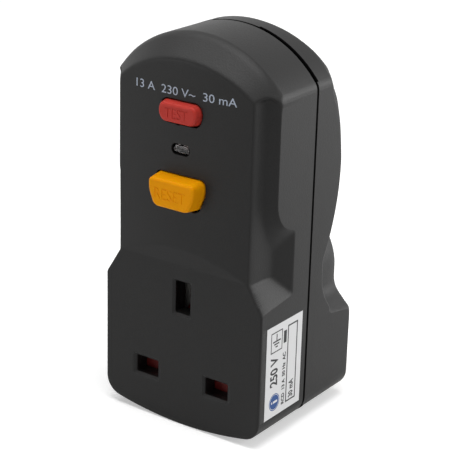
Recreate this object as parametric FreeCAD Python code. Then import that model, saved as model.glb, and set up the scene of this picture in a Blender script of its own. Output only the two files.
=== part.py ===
import FreeCAD, Part
import math
import os

os.makedirs("parts", exist_ok=True)

Vector = FreeCAD.Vector

# Frame: the origin is on the plug face, midway between the live and neutral pins.
# X is to the right seen from the socket face, Y runs from the socket face to the pins, Z is up.
# Depths are measured from the socket face, so that y = depth - body_depth. Sizes are in millimetres.

# Body
body_depth = 43.0
body_half_width = 24.65
body_top_z = 90.3
arch_radius = 30.55
body_bottom_z = -13.3
bottom_radius = 91.0
arch_corner_radius = 2.6
bottom_corner_radius = 4.3
wall = 2.2
socket_wall = 2.4

# Front panel and the band that slopes back from it
side_step_width = 4.65
panel_bulge = 1.5
panel_bottom_z = 31.0
panel_slope_rise = 5.3
panel_inner_depth = 1.4
panel_arch_top_z = 84.6
panel_arch_radius = 26.5
arch_band_depth = 5.1

# Steps in the sides beside the panel
recess_top_z = 77.6
recess_inner_depth = 2.9
recess_outer_depth = 6.1
sweep_top_inner_z = 54.0
sweep_top_outer_z = 52.0
pocket_inner_depth = 8.8
pocket_outer_depth = 13.5
pocket_top_inner_z = 35.9
pocket_top_outer_z = 43.0
shoulder_inner_z = 31.4
shoulder_outer_z = 24.0

# Joint between the two mouldings
parting_depth = 21.2
parting_gap = 0.4
tongue_depth = 1.5
tongue_thickness = 1.0
tongue_clearance = 0.1

# Bulged back and the plug block
back_flat_depth = 28.0
back_bulge_depth = 34.8
back_bulge_z = 56.0
back_bulge_low_radius = 50.8
back_bulge_high_radius = 86.0
plug_half_width = 19.1
plug_top_z = 39.9
plug_corner_radius = 17.0
plug_waist_z = 17.9
plug_waist_radius = 5.0
plug_draft = 0.03
plug_skirt_spread = 8.0
plug_edge_radius = 1.4
face_edge_radius = 0.9
band_edge_radius = 1.2
panel_arch_edge_radius = 0.8

# Socket and plug standard
pin_pitch = 22.23
earth_height = 22.23
line_pin_width = 6.35
line_pin_height = 3.97
line_pin_length = 17.7
earth_pin_width = 3.97
earth_pin_height = 7.93
earth_pin_length = 22.73
sleeve_length = 9.5
sleeve_wall = 0.5
line_hole_width = 7.0
line_hole_height = 4.7
earth_hole_width = 4.7
earth_hole_height = 8.7
lead_in = 0.62
hole_corner_radius = 0.4

# Clearances
moving_gap = 0.3
button_gap = 0.22
bore_gap = 0.05

# Shutter
shutter_depth = 5.0
shutter_thickness = 1.7
shutter_half_width = 14.9
shutter_half_height = 3.0
shutter_travel = 5.5
ramp_half_width = 2.1
ramp_bottom_z = 15.2
ramp_top_z = 23.5
ramp_back_depth = 12.5
guide_back_depth = 4.7
guide_rib_width = 1.2
guide_rib_half_height = 5.2

# Socket insert and contacts
insert_thickness = 1.6
insert_pocket_wall = 1.2
insert_pocket_depth = 17.0
insert_half_height = 8.6
insert_top_z = 29.0
clip_thickness = 0.6
clip_width = 6.0
clip_mouth = 0.8
clip_throat_reach = 2.4
clip_side_gap = 0.3
line_clip_end_gap = 0.6
earth_clip_end_gap = 0.4
earth_well_reach = 4.0
earth_slot_inset = 0.6
clip_front_depth = 10.0
clip_back_depth = 18.7
earth_clip_front_depth = 13.4
earth_clip_back_depth = 23.5
pin_flange_thickness = 2.0
pin_flange_rim = 1.0
pin_tail_reach = 6.2
pin_chamfer = 0.9
strap_thickness = 0.8
strap_width = 5.0
strap_knee_z = 22.0
strap_board_z = 28.5
strap_lap = 5.0
earth_strap_rise = 1.0
link_foot_drop = 2.6
link_knee_z = 28.0
link_board_z = 31.0
link_end_gap = 0.8

# Board and mechanism
board_front_depth = 19.0
board_thickness = 1.6
board_half_width = 15.7
board_bottom_z = 32.5
board_top_z = 79.0
board_corner_radius = 1.5
frame_front_depth = 9.5
frame_plate = 1.5
frame_half_width = 12.5
frame_wall = 2.0
frame_bottom_z = 40.0
frame_top_z = 78.0
frame_boss_x = 13.6
frame_boss_radius = 1.9
frame_boss_length = 5.0
frame_boss_inset_z = 3.0
board_screw_radius = 1.0
board_screw_head_radius = 1.8
board_screw_head = 1.3
board_screw_length = 4.0
pilot_hole_reach = 0.5

# Test button
test_z = 71.5
test_half_width = 6.3
test_height = 5.8
test_corner_radius = 2.2
test_bottom_draw = 0.9
test_top_draw = 0.7
test_side_bend = 0.3
test_proud_depth = -3.3
test_travel = 1.2
test_stem_radius = 1.6
test_stem_stop_depth = 12.5
test_strip_thickness = 0.4
test_strip_half_width = 2.0
test_strip_top = 5.6
test_strip_bend = 3.6
test_strip_knee = 1.0
test_strip_tip = 1.2

# Reset button
reset_z = 51.3
reset_half_width = 7.6
reset_bottom_half_width = 5.6
reset_height = 8.4
reset_bottom_corner = 1.6
reset_side_corner = 3.0
reset_top_corner = 1.7
reset_side_bend = 0.6
reset_top_draw = 0.3
reset_proud_depth = -5.4
reset_travel = 2.5
reset_stem_radius = 2.0
reset_stem_stop_depth = 13.3

button_edge_radius = 0.7
button_flange_rim = 1.1
button_flange_thickness = 1.0

# Indicator
indicator_z = 62.1
lens_width = 5.3
lens_height = 2.6
lens_gap = 0.15
lens_rim = 0.8
lens_sunk = 0.25
lens_flange_thickness = 0.8
lens_end_flat = 0.1
lamp_radius = 1.4
lamp_front_depth = 4.0

# Contact carrier
carrier_height = 5.7
carrier_latch_gap = 0.5
carrier_thickness = 3.2
carrier_travel = 1.8
contact_x = 6.2
contact_plate_half_width = 2.6
contact_plate_thickness = 0.6
contact_tip_radius = 1.5
moving_tip_height = 0.4

# Trip unit
trip_axis_depth = 15.2
bobbin_height = 11.7
bobbin_test_gap = 2.5
bobbin_flange = 1.0
bobbin_half_width = 3.6
bobbin_tube_radius = 2.1
bobbin_bore_radius = 1.6
bobbin_exit_radius = 1.0
trip_winding_radius = 3.4
plunger_radius = 1.3
plunger_rod_radius = 0.7
plunger_slug_rise = 4.7
plunger_slug_sunk = 0.6
plunger_travel = 1.5
latch_pivot_depth = 17.0
latch_pivot_drop = 5.3
latch_arm_fall = 0.05
latch_leg_lean = 0.3
latch_leg_fall = 0.1
latch_pin_radius = 0.7
latch_boss_radius = 1.4
latch_half_width = 3.0
latch_thickness = 0.8
latch_arm_rise = 2.3
latch_hook_drop = 4.1
latch_hook_reach = 2.2

# Current transformer
transformer_z = 47.0
core_outer_radius = 8.0
core_inner_radius = 4.6
core_thickness = 4.6
winding_thickness = 0.9
winding_angle = 280.0

# Board components
varistor_x = -9.5
varistor_z = 68.0
varistor_radius = 4.0
varistor_thickness = 2.6
varistor_leg_radius = 0.4
varistor_leg_length = 1.2
capacitor_x = 7.0
capacitor_z = 68.0
capacitor_half_width = 5.0
capacitor_half_height = 3.5
capacitor_depth = 5.4

# Springs
spring_wire_radius = 0.25
shutter_spring_radius = 1.3
shutter_spring_turns = 5
reset_spring_radius = 3.1
reset_spring_turns = 4
test_spring_radius = 2.6
test_spring_turns = 4
opening_spring_radius = 1.8
opening_spring_turns = 4
plunger_spring_radius = 1.1
plunger_spring_turns = 3
spring_seat_gap = 0.05

# Case screws
lower_screw_inset = 5.25
lower_screw_z = 8.0
upper_screw_inset = 6.05
upper_screw_z = 66.0
screw_radius = 1.5
screw_head_radius = 2.8
screw_head_height = 2.0
screw_slot_half_length = 1.6
screw_slot_half_width = 0.35
screw_slot_depth = 1.1
screw_tip_depth = 13.0
screw_hole_reach = 1.0
lower_seat_depth = 30.0
upper_seat_depth = 27.6
boss_wall = 1.4
counterbore_gap = 0.4
upper_boss_start_depth = 6.0

# Label on the right side
label_front_depth = 2.7
label_back_depth = 18.7
label_bottom_z = -5.9
label_top_z = 19.5
label_thickness = 0.15

# Posts of the rear moulding that carry the board
post_x = 12.6
post_z = 58.5
post_radius = 1.8

panel_half_width = body_half_width - side_step_width
arch_centre_z = body_top_z - arch_radius
bottom_centre_z = body_bottom_z + bottom_radius
line_x = pin_pitch / 2
pin_tail_depth = body_depth - pin_tail_reach
lower_screw_x = body_half_width - lower_screw_inset
upper_screw_x = body_half_width - upper_screw_inset
front_back_depth = parting_depth - parting_gap / 2
rear_front_depth = parting_depth + parting_gap / 2
board_back_depth = board_front_depth + board_thickness
insert_front_depth = shutter_depth + shutter_thickness + moving_gap
insert_half_width = shutter_half_width + moving_gap + guide_rib_width
frame_back_of_plate = frame_front_depth + frame_plate
carrier_front_depth = frame_back_of_plate + moving_gap
bobbin_top_z = test_z - bobbin_test_gap
bobbin_bottom_z = bobbin_top_z - bobbin_height
plunger_slug_bottom_z = bobbin_bottom_z + plunger_slug_rise
plunger_slug_top_z = bobbin_top_z - plunger_slug_sunk
latch_pivot_z = bobbin_bottom_z - latch_pivot_drop
carrier_top_z = latch_pivot_z - latch_hook_drop - latch_thickness / 2 - carrier_latch_gap
carrier_bottom_z = carrier_top_z - carrier_height
carrier_middle_z = (carrier_bottom_z + carrier_top_z) / 2
test_stem_end_depth = test_stem_stop_depth - test_travel
reset_stem_end_depth = reset_stem_stop_depth - reset_travel
closed_tip_depth = (carrier_front_depth + carrier_thickness + contact_plate_thickness
                    + moving_tip_height + carrier_travel + moving_gap)
contact_tip_height = board_front_depth - contact_plate_thickness - closed_tip_depth
plunger_rod_end_z = latch_pivot_z + latch_arm_rise + latch_thickness / 2 + moving_gap + plunger_travel
far = 60.0


def y_at(depth):
    return depth - body_depth


def block(x, depth, z):
    """A box between two x, two depths and two z."""
    corner = Vector(x[0], y_at(depth[0]), z[0])
    return Part.makeBox(x[1] - x[0], depth[1] - depth[0], z[1] - z[0], corner)


def centred_block(x, half_width, depth, z, half_height):
    return block((x - half_width, x + half_width), depth, (z - half_height, z + half_height))


def rod(radius, x, z, depth):
    """A cylinder that runs from front to back."""
    return Part.makeCylinder(radius, depth[1] - depth[0], Vector(x, y_at(depth[0]), z), Vector(0, 1, 0))


def upright_rod(radius, x, depth, z):
    return Part.makeCylinder(radius, z[1] - z[0], Vector(x, y_at(depth), z[0]), Vector(0, 0, 1))


def cross_rod(radius, half_length, depth, z):
    return Part.makeCylinder(radius, 2 * half_length, Vector(-half_length, y_at(depth), z), Vector(1, 0, 0))


def mirrored(shape):
    return shape.mirror(Vector(0, 0, 0), Vector(1, 0, 0))


def rounded_wire(corners, place):
    """A closed wire through (u, v, radius) corners, each rounded by its radius."""
    edges = []
    ends = []
    count = len(corners)
    for index in range(count):
        u, v, radius = corners[index]
        before = corners[index - 1]
        after = corners[(index + 1) % count]
        here = Vector(u, v, 0)
        to_before = (Vector(before[0], before[1], 0) - here).normalize()
        to_after = (Vector(after[0], after[1], 0) - here).normalize()
        if radius == 0:
            ends.append((here, here, here))
            continue
        half_turn = to_before.getAngle(to_after) / 2
        reach = radius / math.tan(half_turn)
        middle = (to_before + to_after).normalize()
        apex = here + middle * (radius / math.sin(half_turn) - radius)
        ends.append((here + to_before * reach, apex, here + to_after * reach))
    for index in range(count):
        start, apex, end = ends[index]
        following = ends[(index + 1) % count][0]
        if start.distanceToPoint(end) > 1e-6:
            edges.append(Part.Arc(place(start), place(apex), place(end)).toShape())
        if end.distanceToPoint(following) > 1e-6:
            edges.append(Part.LineSegment(place(end), place(following)).toShape())
    return Part.Wire(edges)


def front_plane(depth):
    """Places (x, z) on the plane at this depth."""
    return lambda point: Vector(point.x, y_at(depth), point.y)


def side_plane(x):
    """Places (depth, z) on the plane at this x."""
    return lambda point: Vector(x, y_at(point.x), point.y)


def front_prism(corners, depth):
    """Corners in x and z, pushed from the first depth to the second."""
    face = Part.Face(rounded_wire(corners, front_plane(depth[0])))
    return face.extrude(Vector(0, depth[1] - depth[0], 0))


def side_prism(corners, x):
    """Corners in depth and z, pushed from the first x to the second."""
    face = Part.Face(rounded_wire(corners, side_plane(x[0])))
    return face.extrude(Vector(x[1] - x[0], 0, 0))


def rectangle(x, z, half_width, half_height, radius):
    return [
        (x - half_width, z - half_height, radius),
        (x + half_width, z - half_height, radius),
        (x + half_width, z + half_height, radius),
        (x - half_width, z + half_height, radius),
    ]


def ribbon(points, thickness):
    """The outline of a bent strip whose middle line runs through the points."""
    left = []
    right = []
    last = len(points) - 1
    for index, (u, v) in enumerate(points):
        here = Vector(u, v, 0)
        ahead = Vector(*points[min(index + 1, last)], 0) - Vector(*points[min(index, last - 1)], 0)
        behind = Vector(*points[max(index, 1)], 0) - Vector(*points[max(index - 1, 0)], 0)
        ahead.normalize()
        behind.normalize()
        across = Vector(-ahead.y - behind.y, ahead.x + behind.x, 0).normalize()
        reach = thickness / 2 / across.dot(Vector(-ahead.y, ahead.x, 0))
        left.append(here + across * reach)
        right.append(here - across * reach)
    return [(point.x, point.y, 0) for point in left + right[::-1]]


def half_turn(radius, side, z, rise):
    """Half a turn of spring wire from one side to the other, tilted so that it climbs by rise."""
    start = Vector(side * radius, 0, z)
    centre = Vector(0, 0, z + rise / 2)
    tilted_axis = Vector(side * rise, 0, 2 * radius)
    section = Part.Face(Part.Wire(Part.makeCircle(spring_wire_radius, start, Vector(0, 1, 0))))
    return section.revolve(centre, tilted_axis, 180)


def coil(radius, turns, height, base, axis):
    """A compression spring of round wire with flat ends, standing on base and wound along axis."""
    half_turns = 2 * turns
    length = height - 2 * spring_wire_radius - 2 * spring_seat_gap
    climb = length / (half_turns - 2)
    z = spring_wire_radius + spring_seat_gap
    wire = []
    for index in range(half_turns):
        rise = 0 if index in (0, half_turns - 1) else climb
        wire.append(half_turn(radius, 1 if index % 2 == 0 else -1, z, rise))
        z += rise
    spring = wire[0].multiFuse(wire[1:])
    standing = FreeCAD.Rotation(Vector(0, 0, 1), axis)
    spring.Placement = FreeCAD.Placement(base, standing)
    return spring


def edges_at(shape, depth):
    """Every edge that lies in the plane at this depth."""
    y = y_at(depth)
    ends_there = [edge for edge in shape.Edges
                  if all(abs(vertex.Y - y) < 1e-4 for vertex in edge.Vertexes)]
    return [edge for edge in ends_there if abs(edge.CenterOfMass.y - y) < 1e-4]


def corner_points(radius, centre_z, corner_radius, side_x, up):
    """Where a corner arc leaves the big arc and meets the side, with its middle, seen from the front."""
    corner_x = side_x - corner_radius
    reach = radius - corner_radius
    corner_z = centre_z + up * math.sqrt(reach ** 2 - corner_x ** 2)
    lean = math.atan2(up * (corner_z - centre_z), corner_x)
    on_arc = Vector(radius * math.cos(lean), centre_z + up * radius * math.sin(lean), 0)
    half_lean = Vector(math.cos(lean / 2), up * math.sin(lean / 2), 0)
    middle = Vector(corner_x, corner_z, 0) + half_lean * corner_radius
    return on_arc, middle, Vector(side_x, corner_z, 0)


def body_prism(inset, depth):
    """The arched outline of the body, drawn in by inset, between two depths."""
    side_x = body_half_width - inset
    place = front_plane(depth[0])
    top = corner_points(arch_radius - inset, arch_centre_z, arch_corner_radius - inset, side_x, 1)
    low = corner_points(bottom_radius - inset, bottom_centre_z, bottom_corner_radius - inset, side_x, -1)
    top_left = [Vector(-point.x, point.y, 0) for point in top]
    low_left = [Vector(-point.x, point.y, 0) for point in low]
    crown = Vector(0, body_top_z - inset, 0)
    keel = Vector(0, body_bottom_z + inset, 0)
    wire = Part.Wire([
        Part.Arc(place(top_left[0]), place(crown), place(top[0])).toShape(),
        Part.Arc(place(top[0]), place(top[1]), place(top[2])).toShape(),
        Part.LineSegment(place(top[2]), place(low[2])).toShape(),
        Part.Arc(place(low[2]), place(low[1]), place(low[0])).toShape(),
        Part.Arc(place(low[0]), place(keel), place(low_left[0])).toShape(),
        Part.Arc(place(low_left[0]), place(low_left[1]), place(low_left[2])).toShape(),
        Part.LineSegment(place(low_left[2]), place(top_left[2])).toShape(),
        Part.Arc(place(top_left[2]), place(top_left[1]), place(top_left[0])).toShape(),
    ])
    return Part.Face(wire).extrude(Vector(0, depth[1] - depth[0], 0))


def arch_wire(radius, top_z, depth):
    """A tall outline with a half round top, wider than the body."""
    place = front_plane(depth)
    left = Vector(-radius, top_z - radius, 0)
    right = Vector(radius, top_z - radius, 0)
    crown = Vector(0, top_z, 0)
    foot_left = Vector(-radius, -far, 0)
    foot_right = Vector(radius, -far, 0)
    return Part.Wire([
        Part.Arc(place(left), place(crown), place(right)).toShape(),
        Part.LineSegment(place(right), place(foot_right)).toShape(),
        Part.LineSegment(place(foot_right), place(foot_left)).toShape(),
        Part.LineSegment(place(foot_left), place(left)).toShape(),
    ])


def arch_limit(inset):
    """All that lies behind the band that slopes from the panel's arch to the outline, and on past it."""
    rise = body_top_z - panel_arch_top_z
    run = arch_band_depth + panel_bulge
    widening = arch_radius - panel_arch_radius
    front = arch_wire(panel_arch_radius - inset, panel_arch_top_z - inset, inset / 2 - panel_bulge)
    back_depth = inset / 2 + arch_band_depth + run
    back = arch_wire(arch_radius + widening - inset, body_top_z + rise - inset, back_depth)
    band = Part.makeLoft([front, back], True, True)
    behind = Part.Face(back).extrude(Vector(0, body_depth, 0))
    return band.fuse(behind)


def recess_profile(x, grow, step_depth, pocket_depth, sweep_top, pocket_top, shoulder):
    """The recess seen from the side, at one x, as a closed wire."""
    place = side_plane(x)
    step = step_depth + grow
    pocket = pocket_depth + grow
    top = recess_top_z + grow
    rise = sweep_top - pocket_top
    run = pocket - step
    sweep_radius = (rise ** 2 + run ** 2) / (2 * run)
    half_angle = math.atan2(rise, sweep_radius - run) / 2
    middle = Vector(step + sweep_radius * (1 - math.cos(half_angle)),
                    sweep_top - sweep_radius * math.sin(half_angle), 0)
    points = [
        Vector(-far / 4, shoulder - grow, 0),
        Vector(pocket, shoulder - grow, 0),
        Vector(pocket, pocket_top, 0),
        Vector(step, sweep_top, 0),
        Vector(step, top, 0),
        Vector(-far / 4, top, 0),
    ]
    edges = []
    for index in range(len(points)):
        start = points[index]
        end = points[(index + 1) % len(points)]
        if index == 2:
            edges.append(Part.Arc(place(start), place(middle), place(end)).toShape())
        else:
            edges.append(Part.LineSegment(place(start), place(end)).toShape())
    return Part.Wire(edges)


def side_recess(grow):
    """What is cut from the right of the front moulding: stepped side, swept pocket and shoulder."""
    inner = recess_profile(panel_half_width - grow, grow, recess_inner_depth, pocket_inner_depth,
                           sweep_top_inner_z, pocket_top_inner_z, shoulder_inner_z)
    outer = recess_profile(body_half_width, grow, recess_outer_depth, pocket_outer_depth,
                           sweep_top_outer_z, pocket_top_outer_z, shoulder_outer_z)
    cutter = Part.makeLoft([inner, outer], True, True)
    return cutter.fuse(Part.Face(outer).extrude(Vector(wall, 0, 0)))


def panel_bulge_solid():
    """The panel's convex face, with a flat slope at its lower end."""
    radius = (panel_half_width ** 2 + panel_bulge ** 2) / (2 * panel_bulge)
    left = Vector(-panel_half_width, y_at(0), panel_bottom_z)
    crown = Vector(0, y_at(-panel_bulge), panel_bottom_z)
    right = Vector(panel_half_width, y_at(0), panel_bottom_z)
    back_left = Vector(-panel_half_width, y_at(1), panel_bottom_z)
    back_right = Vector(panel_half_width, y_at(1), panel_bottom_z)
    face = Part.Face(Part.Wire([
        Part.Arc(left, crown, right).toShape(),
        Part.LineSegment(right, back_right).toShape(),
        Part.LineSegment(back_right, back_left).toShape(),
        Part.LineSegment(back_left, left).toShape(),
    ]))
    bulge = face.extrude(Vector(0, 0, body_top_z - panel_bottom_z))
    slope = [
        (0, panel_bottom_z, 0),
        (-2 * panel_bulge, panel_bottom_z, 0),
        (-2 * panel_bulge, panel_bottom_z + 2 * panel_slope_rise, 0),
    ]
    return bulge.cut(side_prism(slope, (-far, far)))


def front_form():
    """The outside of the front moulding, solid."""
    form = body_prism(0, (0, front_back_depth))
    form = form.fuse(panel_bulge_solid())
    form = form.common(arch_limit(0))
    recess = side_recess(0)
    form = form.cut(recess).cut(mirrored(recess)).removeSplitter()
    low = [edge for edge in edges_at(form, 0)
           if edge.CenterOfMass.z < panel_bottom_z and edge.Curve.TypeId != "Part::GeomBSplineCurve"]
    form = form.makeFillet(face_edge_radius, low)
    crown_edge = max(edges_at(form, arch_band_depth), key=lambda edge: edge.Length)
    form = form.makeFillet(band_edge_radius, [crown_edge])
    arch = [edge for edge in form.Edges
            if edge.CenterOfMass.z > recess_top_z
            and edge.CenterOfMass.y < y_at(0)
            and edge.Length > panel_half_width]
    return form.makeFillet(panel_arch_edge_radius, arch)


def front_cavity():
    """The room inside the front moulding, open at the back."""
    room = body_prism(wall, (socket_wall, front_back_depth + 1))
    inner = panel_half_width - wall
    panel_depth = (panel_inner_depth, socket_wall + 1)
    room = room.fuse(block((-inner, inner), panel_depth, (panel_bottom_z + wall, body_top_z)))
    room = room.common(arch_limit(wall))
    recess = side_recess(wall)
    return room.cut(recess).cut(mirrored(recess))


def aperture(x, z, width, height):
    """One socket aperture with its sloped lead-in."""
    hole = rectangle(x, z, width / 2, height / 2, hole_corner_radius)
    flared = rectangle(x, z, width / 2 + lead_in, height / 2 + lead_in, hole_corner_radius)
    through = front_prism(hole, (-1, socket_wall + 1))
    mouth = rounded_wire(flared, front_plane(0))
    throat = rounded_wire(hole, front_plane(lead_in))
    return through.fuse(Part.makeLoft([mouth, throat], True, True))


def apertures():
    """Places and sizes of the three apertures: live, neutral and earth."""
    return [
        (line_x, 0, line_hole_width, line_hole_height),
        (-line_x, 0, line_hole_width, line_hole_height),
        (0, earth_height, earth_hole_width, earth_hole_height),
    ]


def test_outline(grow):
    half = test_half_width + grow
    rise = test_height / 2 + grow
    return [
        (-half + test_bottom_draw, test_z - rise, test_corner_radius),
        (half - test_bottom_draw, test_z - rise, test_corner_radius),
        (half, test_z + test_side_bend, test_corner_radius),
        (half - test_top_draw, test_z + rise, test_corner_radius),
        (-half + test_top_draw, test_z + rise, test_corner_radius),
        (-half, test_z + test_side_bend, test_corner_radius),
    ]


def reset_outline(grow):
    half = reset_half_width + grow
    low = reset_bottom_half_width + grow
    rise = reset_height / 2 + grow
    return [
        (-low, reset_z - rise, reset_bottom_corner),
        (low, reset_z - rise, reset_bottom_corner),
        (half, reset_z + reset_side_bend, reset_side_corner),
        (half - reset_top_draw, reset_z + rise, reset_top_corner),
        (-half + reset_top_draw, reset_z + rise, reset_top_corner),
        (-half, reset_z + reset_side_bend, reset_side_corner),
    ]


def lens_outline(grow):
    height = lens_height / 2 + grow
    return rectangle(0, indicator_z, lens_width / 2 + grow, height, height - lens_end_flat / 2)


def screw_places():
    """Each case screw: x, z, the depth of its seat and where its front boss starts."""
    return [
        (side * x, z, seat, start)
        for side in (-1, 1)
        for x, z, seat, start in (
            (lower_screw_x, lower_screw_z, lower_seat_depth, socket_wall),
            (upper_screw_x, upper_screw_z, upper_seat_depth, upper_boss_start_depth),
        )
    ]


def front_shell():
    shell = front_form().cut(front_cavity())
    for x, z, seat, start in screw_places():
        boss = rod(screw_radius + boss_wall, x, z, (start, front_back_depth))
        shell = shell.fuse(boss.common(body_prism(0, (0, front_back_depth))))
        shell = shell.cut(rod(screw_radius, x, z, (screw_tip_depth - screw_hole_reach, front_back_depth + 1)))
    for x, z, width, height in apertures():
        shell = shell.cut(aperture(x, z, width, height))
    openings = (test_outline(button_gap), reset_outline(button_gap), lens_outline(lens_gap))
    for outline in openings:
        shell = shell.cut(front_prism(outline, (-far / 4, panel_inner_depth + 1)))
    rebate_depth = front_back_depth - tongue_depth - tongue_clearance
    skin = wall - tongue_thickness - tongue_clearance
    rebate = body_prism(skin, (rebate_depth, front_back_depth + 1))
    rebate = rebate.cut(body_prism(wall, (rebate_depth, front_back_depth + 1)))
    return shell.cut(rebate).cut(label_solid())


def label_solid():
    """The label lies in a shallow recess, flush with the side."""
    return block((body_half_width - label_thickness, body_half_width), (label_front_depth, label_back_depth),
                 (label_bottom_z, label_top_z))


def bulge_rise(radius, depth, inset):
    """How far above or below the fullest line an arc of the bulged back reaches this depth."""
    return math.sqrt((radius - inset) ** 2 - (depth - back_bulge_depth + radius) ** 2)


def bulge_point(radius, rise, inset):
    """Depth and z of an arc of the bulged back, at this height over its fullest line."""
    depth = back_bulge_depth - radius + math.sqrt((radius - inset) ** 2 - rise ** 2)
    return Vector(depth, back_bulge_z + rise, 0)


def back_limit(inset):
    """All that lies in front of the bulged back."""
    crown_depth = parting_depth - 2 * wall
    fall = -bulge_rise(back_bulge_low_radius, back_flat_depth - inset, inset)
    rise = bulge_rise(back_bulge_high_radius, crown_depth, inset)
    place = side_plane(-far)
    low = place(Vector(back_flat_depth - inset, -far, 0))
    bend = place(bulge_point(back_bulge_low_radius, fall, inset))
    lower = place(bulge_point(back_bulge_low_radius, fall / 2, inset))
    fullest = place(bulge_point(back_bulge_low_radius, 0, inset))
    upper = place(bulge_point(back_bulge_high_radius, rise / 2, inset))
    crown = place(bulge_point(back_bulge_high_radius, rise, inset))
    foot = place(Vector(crown_depth, -far, 0))
    wire = Part.Wire([
        Part.LineSegment(low, bend).toShape(),
        Part.Arc(bend, lower, fullest).toShape(),
        Part.Arc(fullest, upper, crown).toShape(),
        Part.LineSegment(crown, foot).toShape(),
        Part.LineSegment(foot, low).toShape(),
    ])
    return Part.Face(wire).extrude(Vector(2 * far, 0, 0))


def plug_outline(grow):
    """The plug block's outline: wide below, drawn in above the waist, round at the top."""
    half = plug_half_width + grow
    spread = body_half_width + plug_skirt_spread
    top = plug_top_z + grow
    waist = plug_waist_z + grow * math.tan(math.radians(22.5))
    return [
        (-spread, -far, 0),
        (spread, -far, 0),
        (spread, waist - (spread - half), 0),
        (half, waist, plug_waist_radius),
        (half, top, plug_corner_radius + grow),
        (-half, top, plug_corner_radius + grow),
        (-half, waist, plug_waist_radius),
        (-spread, waist - (spread - half), 0),
    ]


def plug_block(inset):
    """The block that carries the pins, drafted from the plug face to the case."""
    start = parting_depth
    end = body_depth - inset
    face = rounded_wire(plug_outline(-inset), front_plane(end))
    root = rounded_wire(plug_outline(plug_draft * (end - start) - inset), front_plane(start))
    return Part.makeLoft([root, face], True, True)


def rear_form(inset, front):
    """The rear moulding's solid form, drawn in by inset, from depth front to the plug face."""
    outline = body_prism(inset, (front, body_depth - inset))
    case = outline.common(back_limit(inset))
    return case.fuse(outline.common(plug_block(inset)))


def rear_shell():
    outside = rear_form(0, rear_front_depth).removeSplitter()
    outside = outside.makeFillet(plug_edge_radius, edges_at(outside, body_depth))
    shell = outside.cut(rear_form(wall, rear_front_depth - 1))
    tongue_start = front_back_depth - tongue_depth
    tongue = body_prism(wall - tongue_thickness, (tongue_start, rear_front_depth + wall))
    tongue = tongue.cut(body_prism(wall, (tongue_start - 1, rear_front_depth + 2 * wall)))
    shell = shell.fuse(tongue.common(back_limit(0)))
    hole_radius = screw_head_radius + counterbore_gap
    for x, z, seat, start in screw_places():
        boss = rod(screw_radius + boss_wall, x, z, (rear_front_depth, seat))
        sleeve = rod(hole_radius + boss_wall, x, z, (seat - boss_wall, body_depth))
        shell = shell.fuse(boss.fuse(sleeve).common(outside))
        shell = shell.cut(rod(screw_radius + bore_gap, x, z, (rear_front_depth - 1, seat)))
        shell = shell.cut(rod(hole_radius, x, z, (seat, body_depth + 1)))
    for side in (-1, 1):
        post = rod(post_radius, side * post_x, post_z, (rear_front_depth, body_depth)).common(outside)
        post = post.fuse(rod(post_radius, side * post_x, post_z, (board_back_depth, rear_front_depth)))
        shell = shell.fuse(post)
    past_face = (pin_tail_depth, body_depth + 1)
    for side in (-1, 1):
        shell = shell.cut(centred_block(side * line_x, line_pin_width / 2, past_face, 0, line_pin_height / 2))
    return shell.cut(centred_block(0, earth_pin_width / 2, past_face, earth_height, earth_pin_height / 2))


def pin(x, z, width, height, length, neck):
    """A plug pin with a flange behind the wall, and a chamfered tip."""
    end = body_depth + length
    shaft = centred_block(x, width / 2, (pin_tail_depth, end), z, height / 2)
    shaft = shaft.makeChamfer(pin_chamfer, edges_at(shaft, end))
    flange_back = body_depth - wall
    flange_depth = (flange_back - pin_flange_thickness, flange_back)
    flange = centred_block(x, width / 2 + pin_flange_rim, flange_depth, z, height / 2 + pin_flange_rim)
    shaft = shaft.fuse(flange)
    if neck:
        shaft = shaft.cut(pin_sleeve(x, z, width, height))
    return shaft


def pin_sleeve(x, z, width, height):
    """The insulating sleeve, flush with the pin that it is moulded round."""
    outer = centred_block(x, width / 2, (body_depth, body_depth + sleeve_length), z, height / 2)
    inner = centred_block(x, width / 2 - sleeve_wall, (body_depth, body_depth + sleeve_length), z,
                          height / 2 - sleeve_wall)
    return outer.cut(inner)


def clip_profile(front, back, grip):
    """A spring clip: two leaves that spread at the mouth, joined at the back."""
    rest = grip / 2 + clip_thickness / 2
    throat = front + clip_throat_reach
    half = [(front, rest + clip_mouth), (throat, rest), (back, rest + clip_mouth / 2)]
    return ribbon(half + [(depth, -across) for depth, across in half[::-1]], clip_thickness)


def line_contact(side):
    corners = clip_profile(clip_front_depth, clip_back_depth, line_pin_height)
    return side_prism(corners, (side * line_x - clip_width / 2, side * line_x + clip_width / 2))


def earth_contact():
    corners = clip_profile(earth_clip_front_depth, earth_clip_back_depth, earth_pin_width)
    low_z = earth_height - clip_width / 2
    upright = [Vector(across, y_at(depth), low_z) for depth, across, radius in corners]
    face = Part.Face(Part.makePolygon(upright + [upright[0]]))
    return face.extrude(Vector(0, 0, clip_width))


def lower_boss_room(side):
    """Room for a lower screw boss beside the socket's inner pieces."""
    return rod(screw_radius + boss_wall + moving_gap, side * lower_screw_x, lower_screw_z, (0, body_depth))


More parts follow.
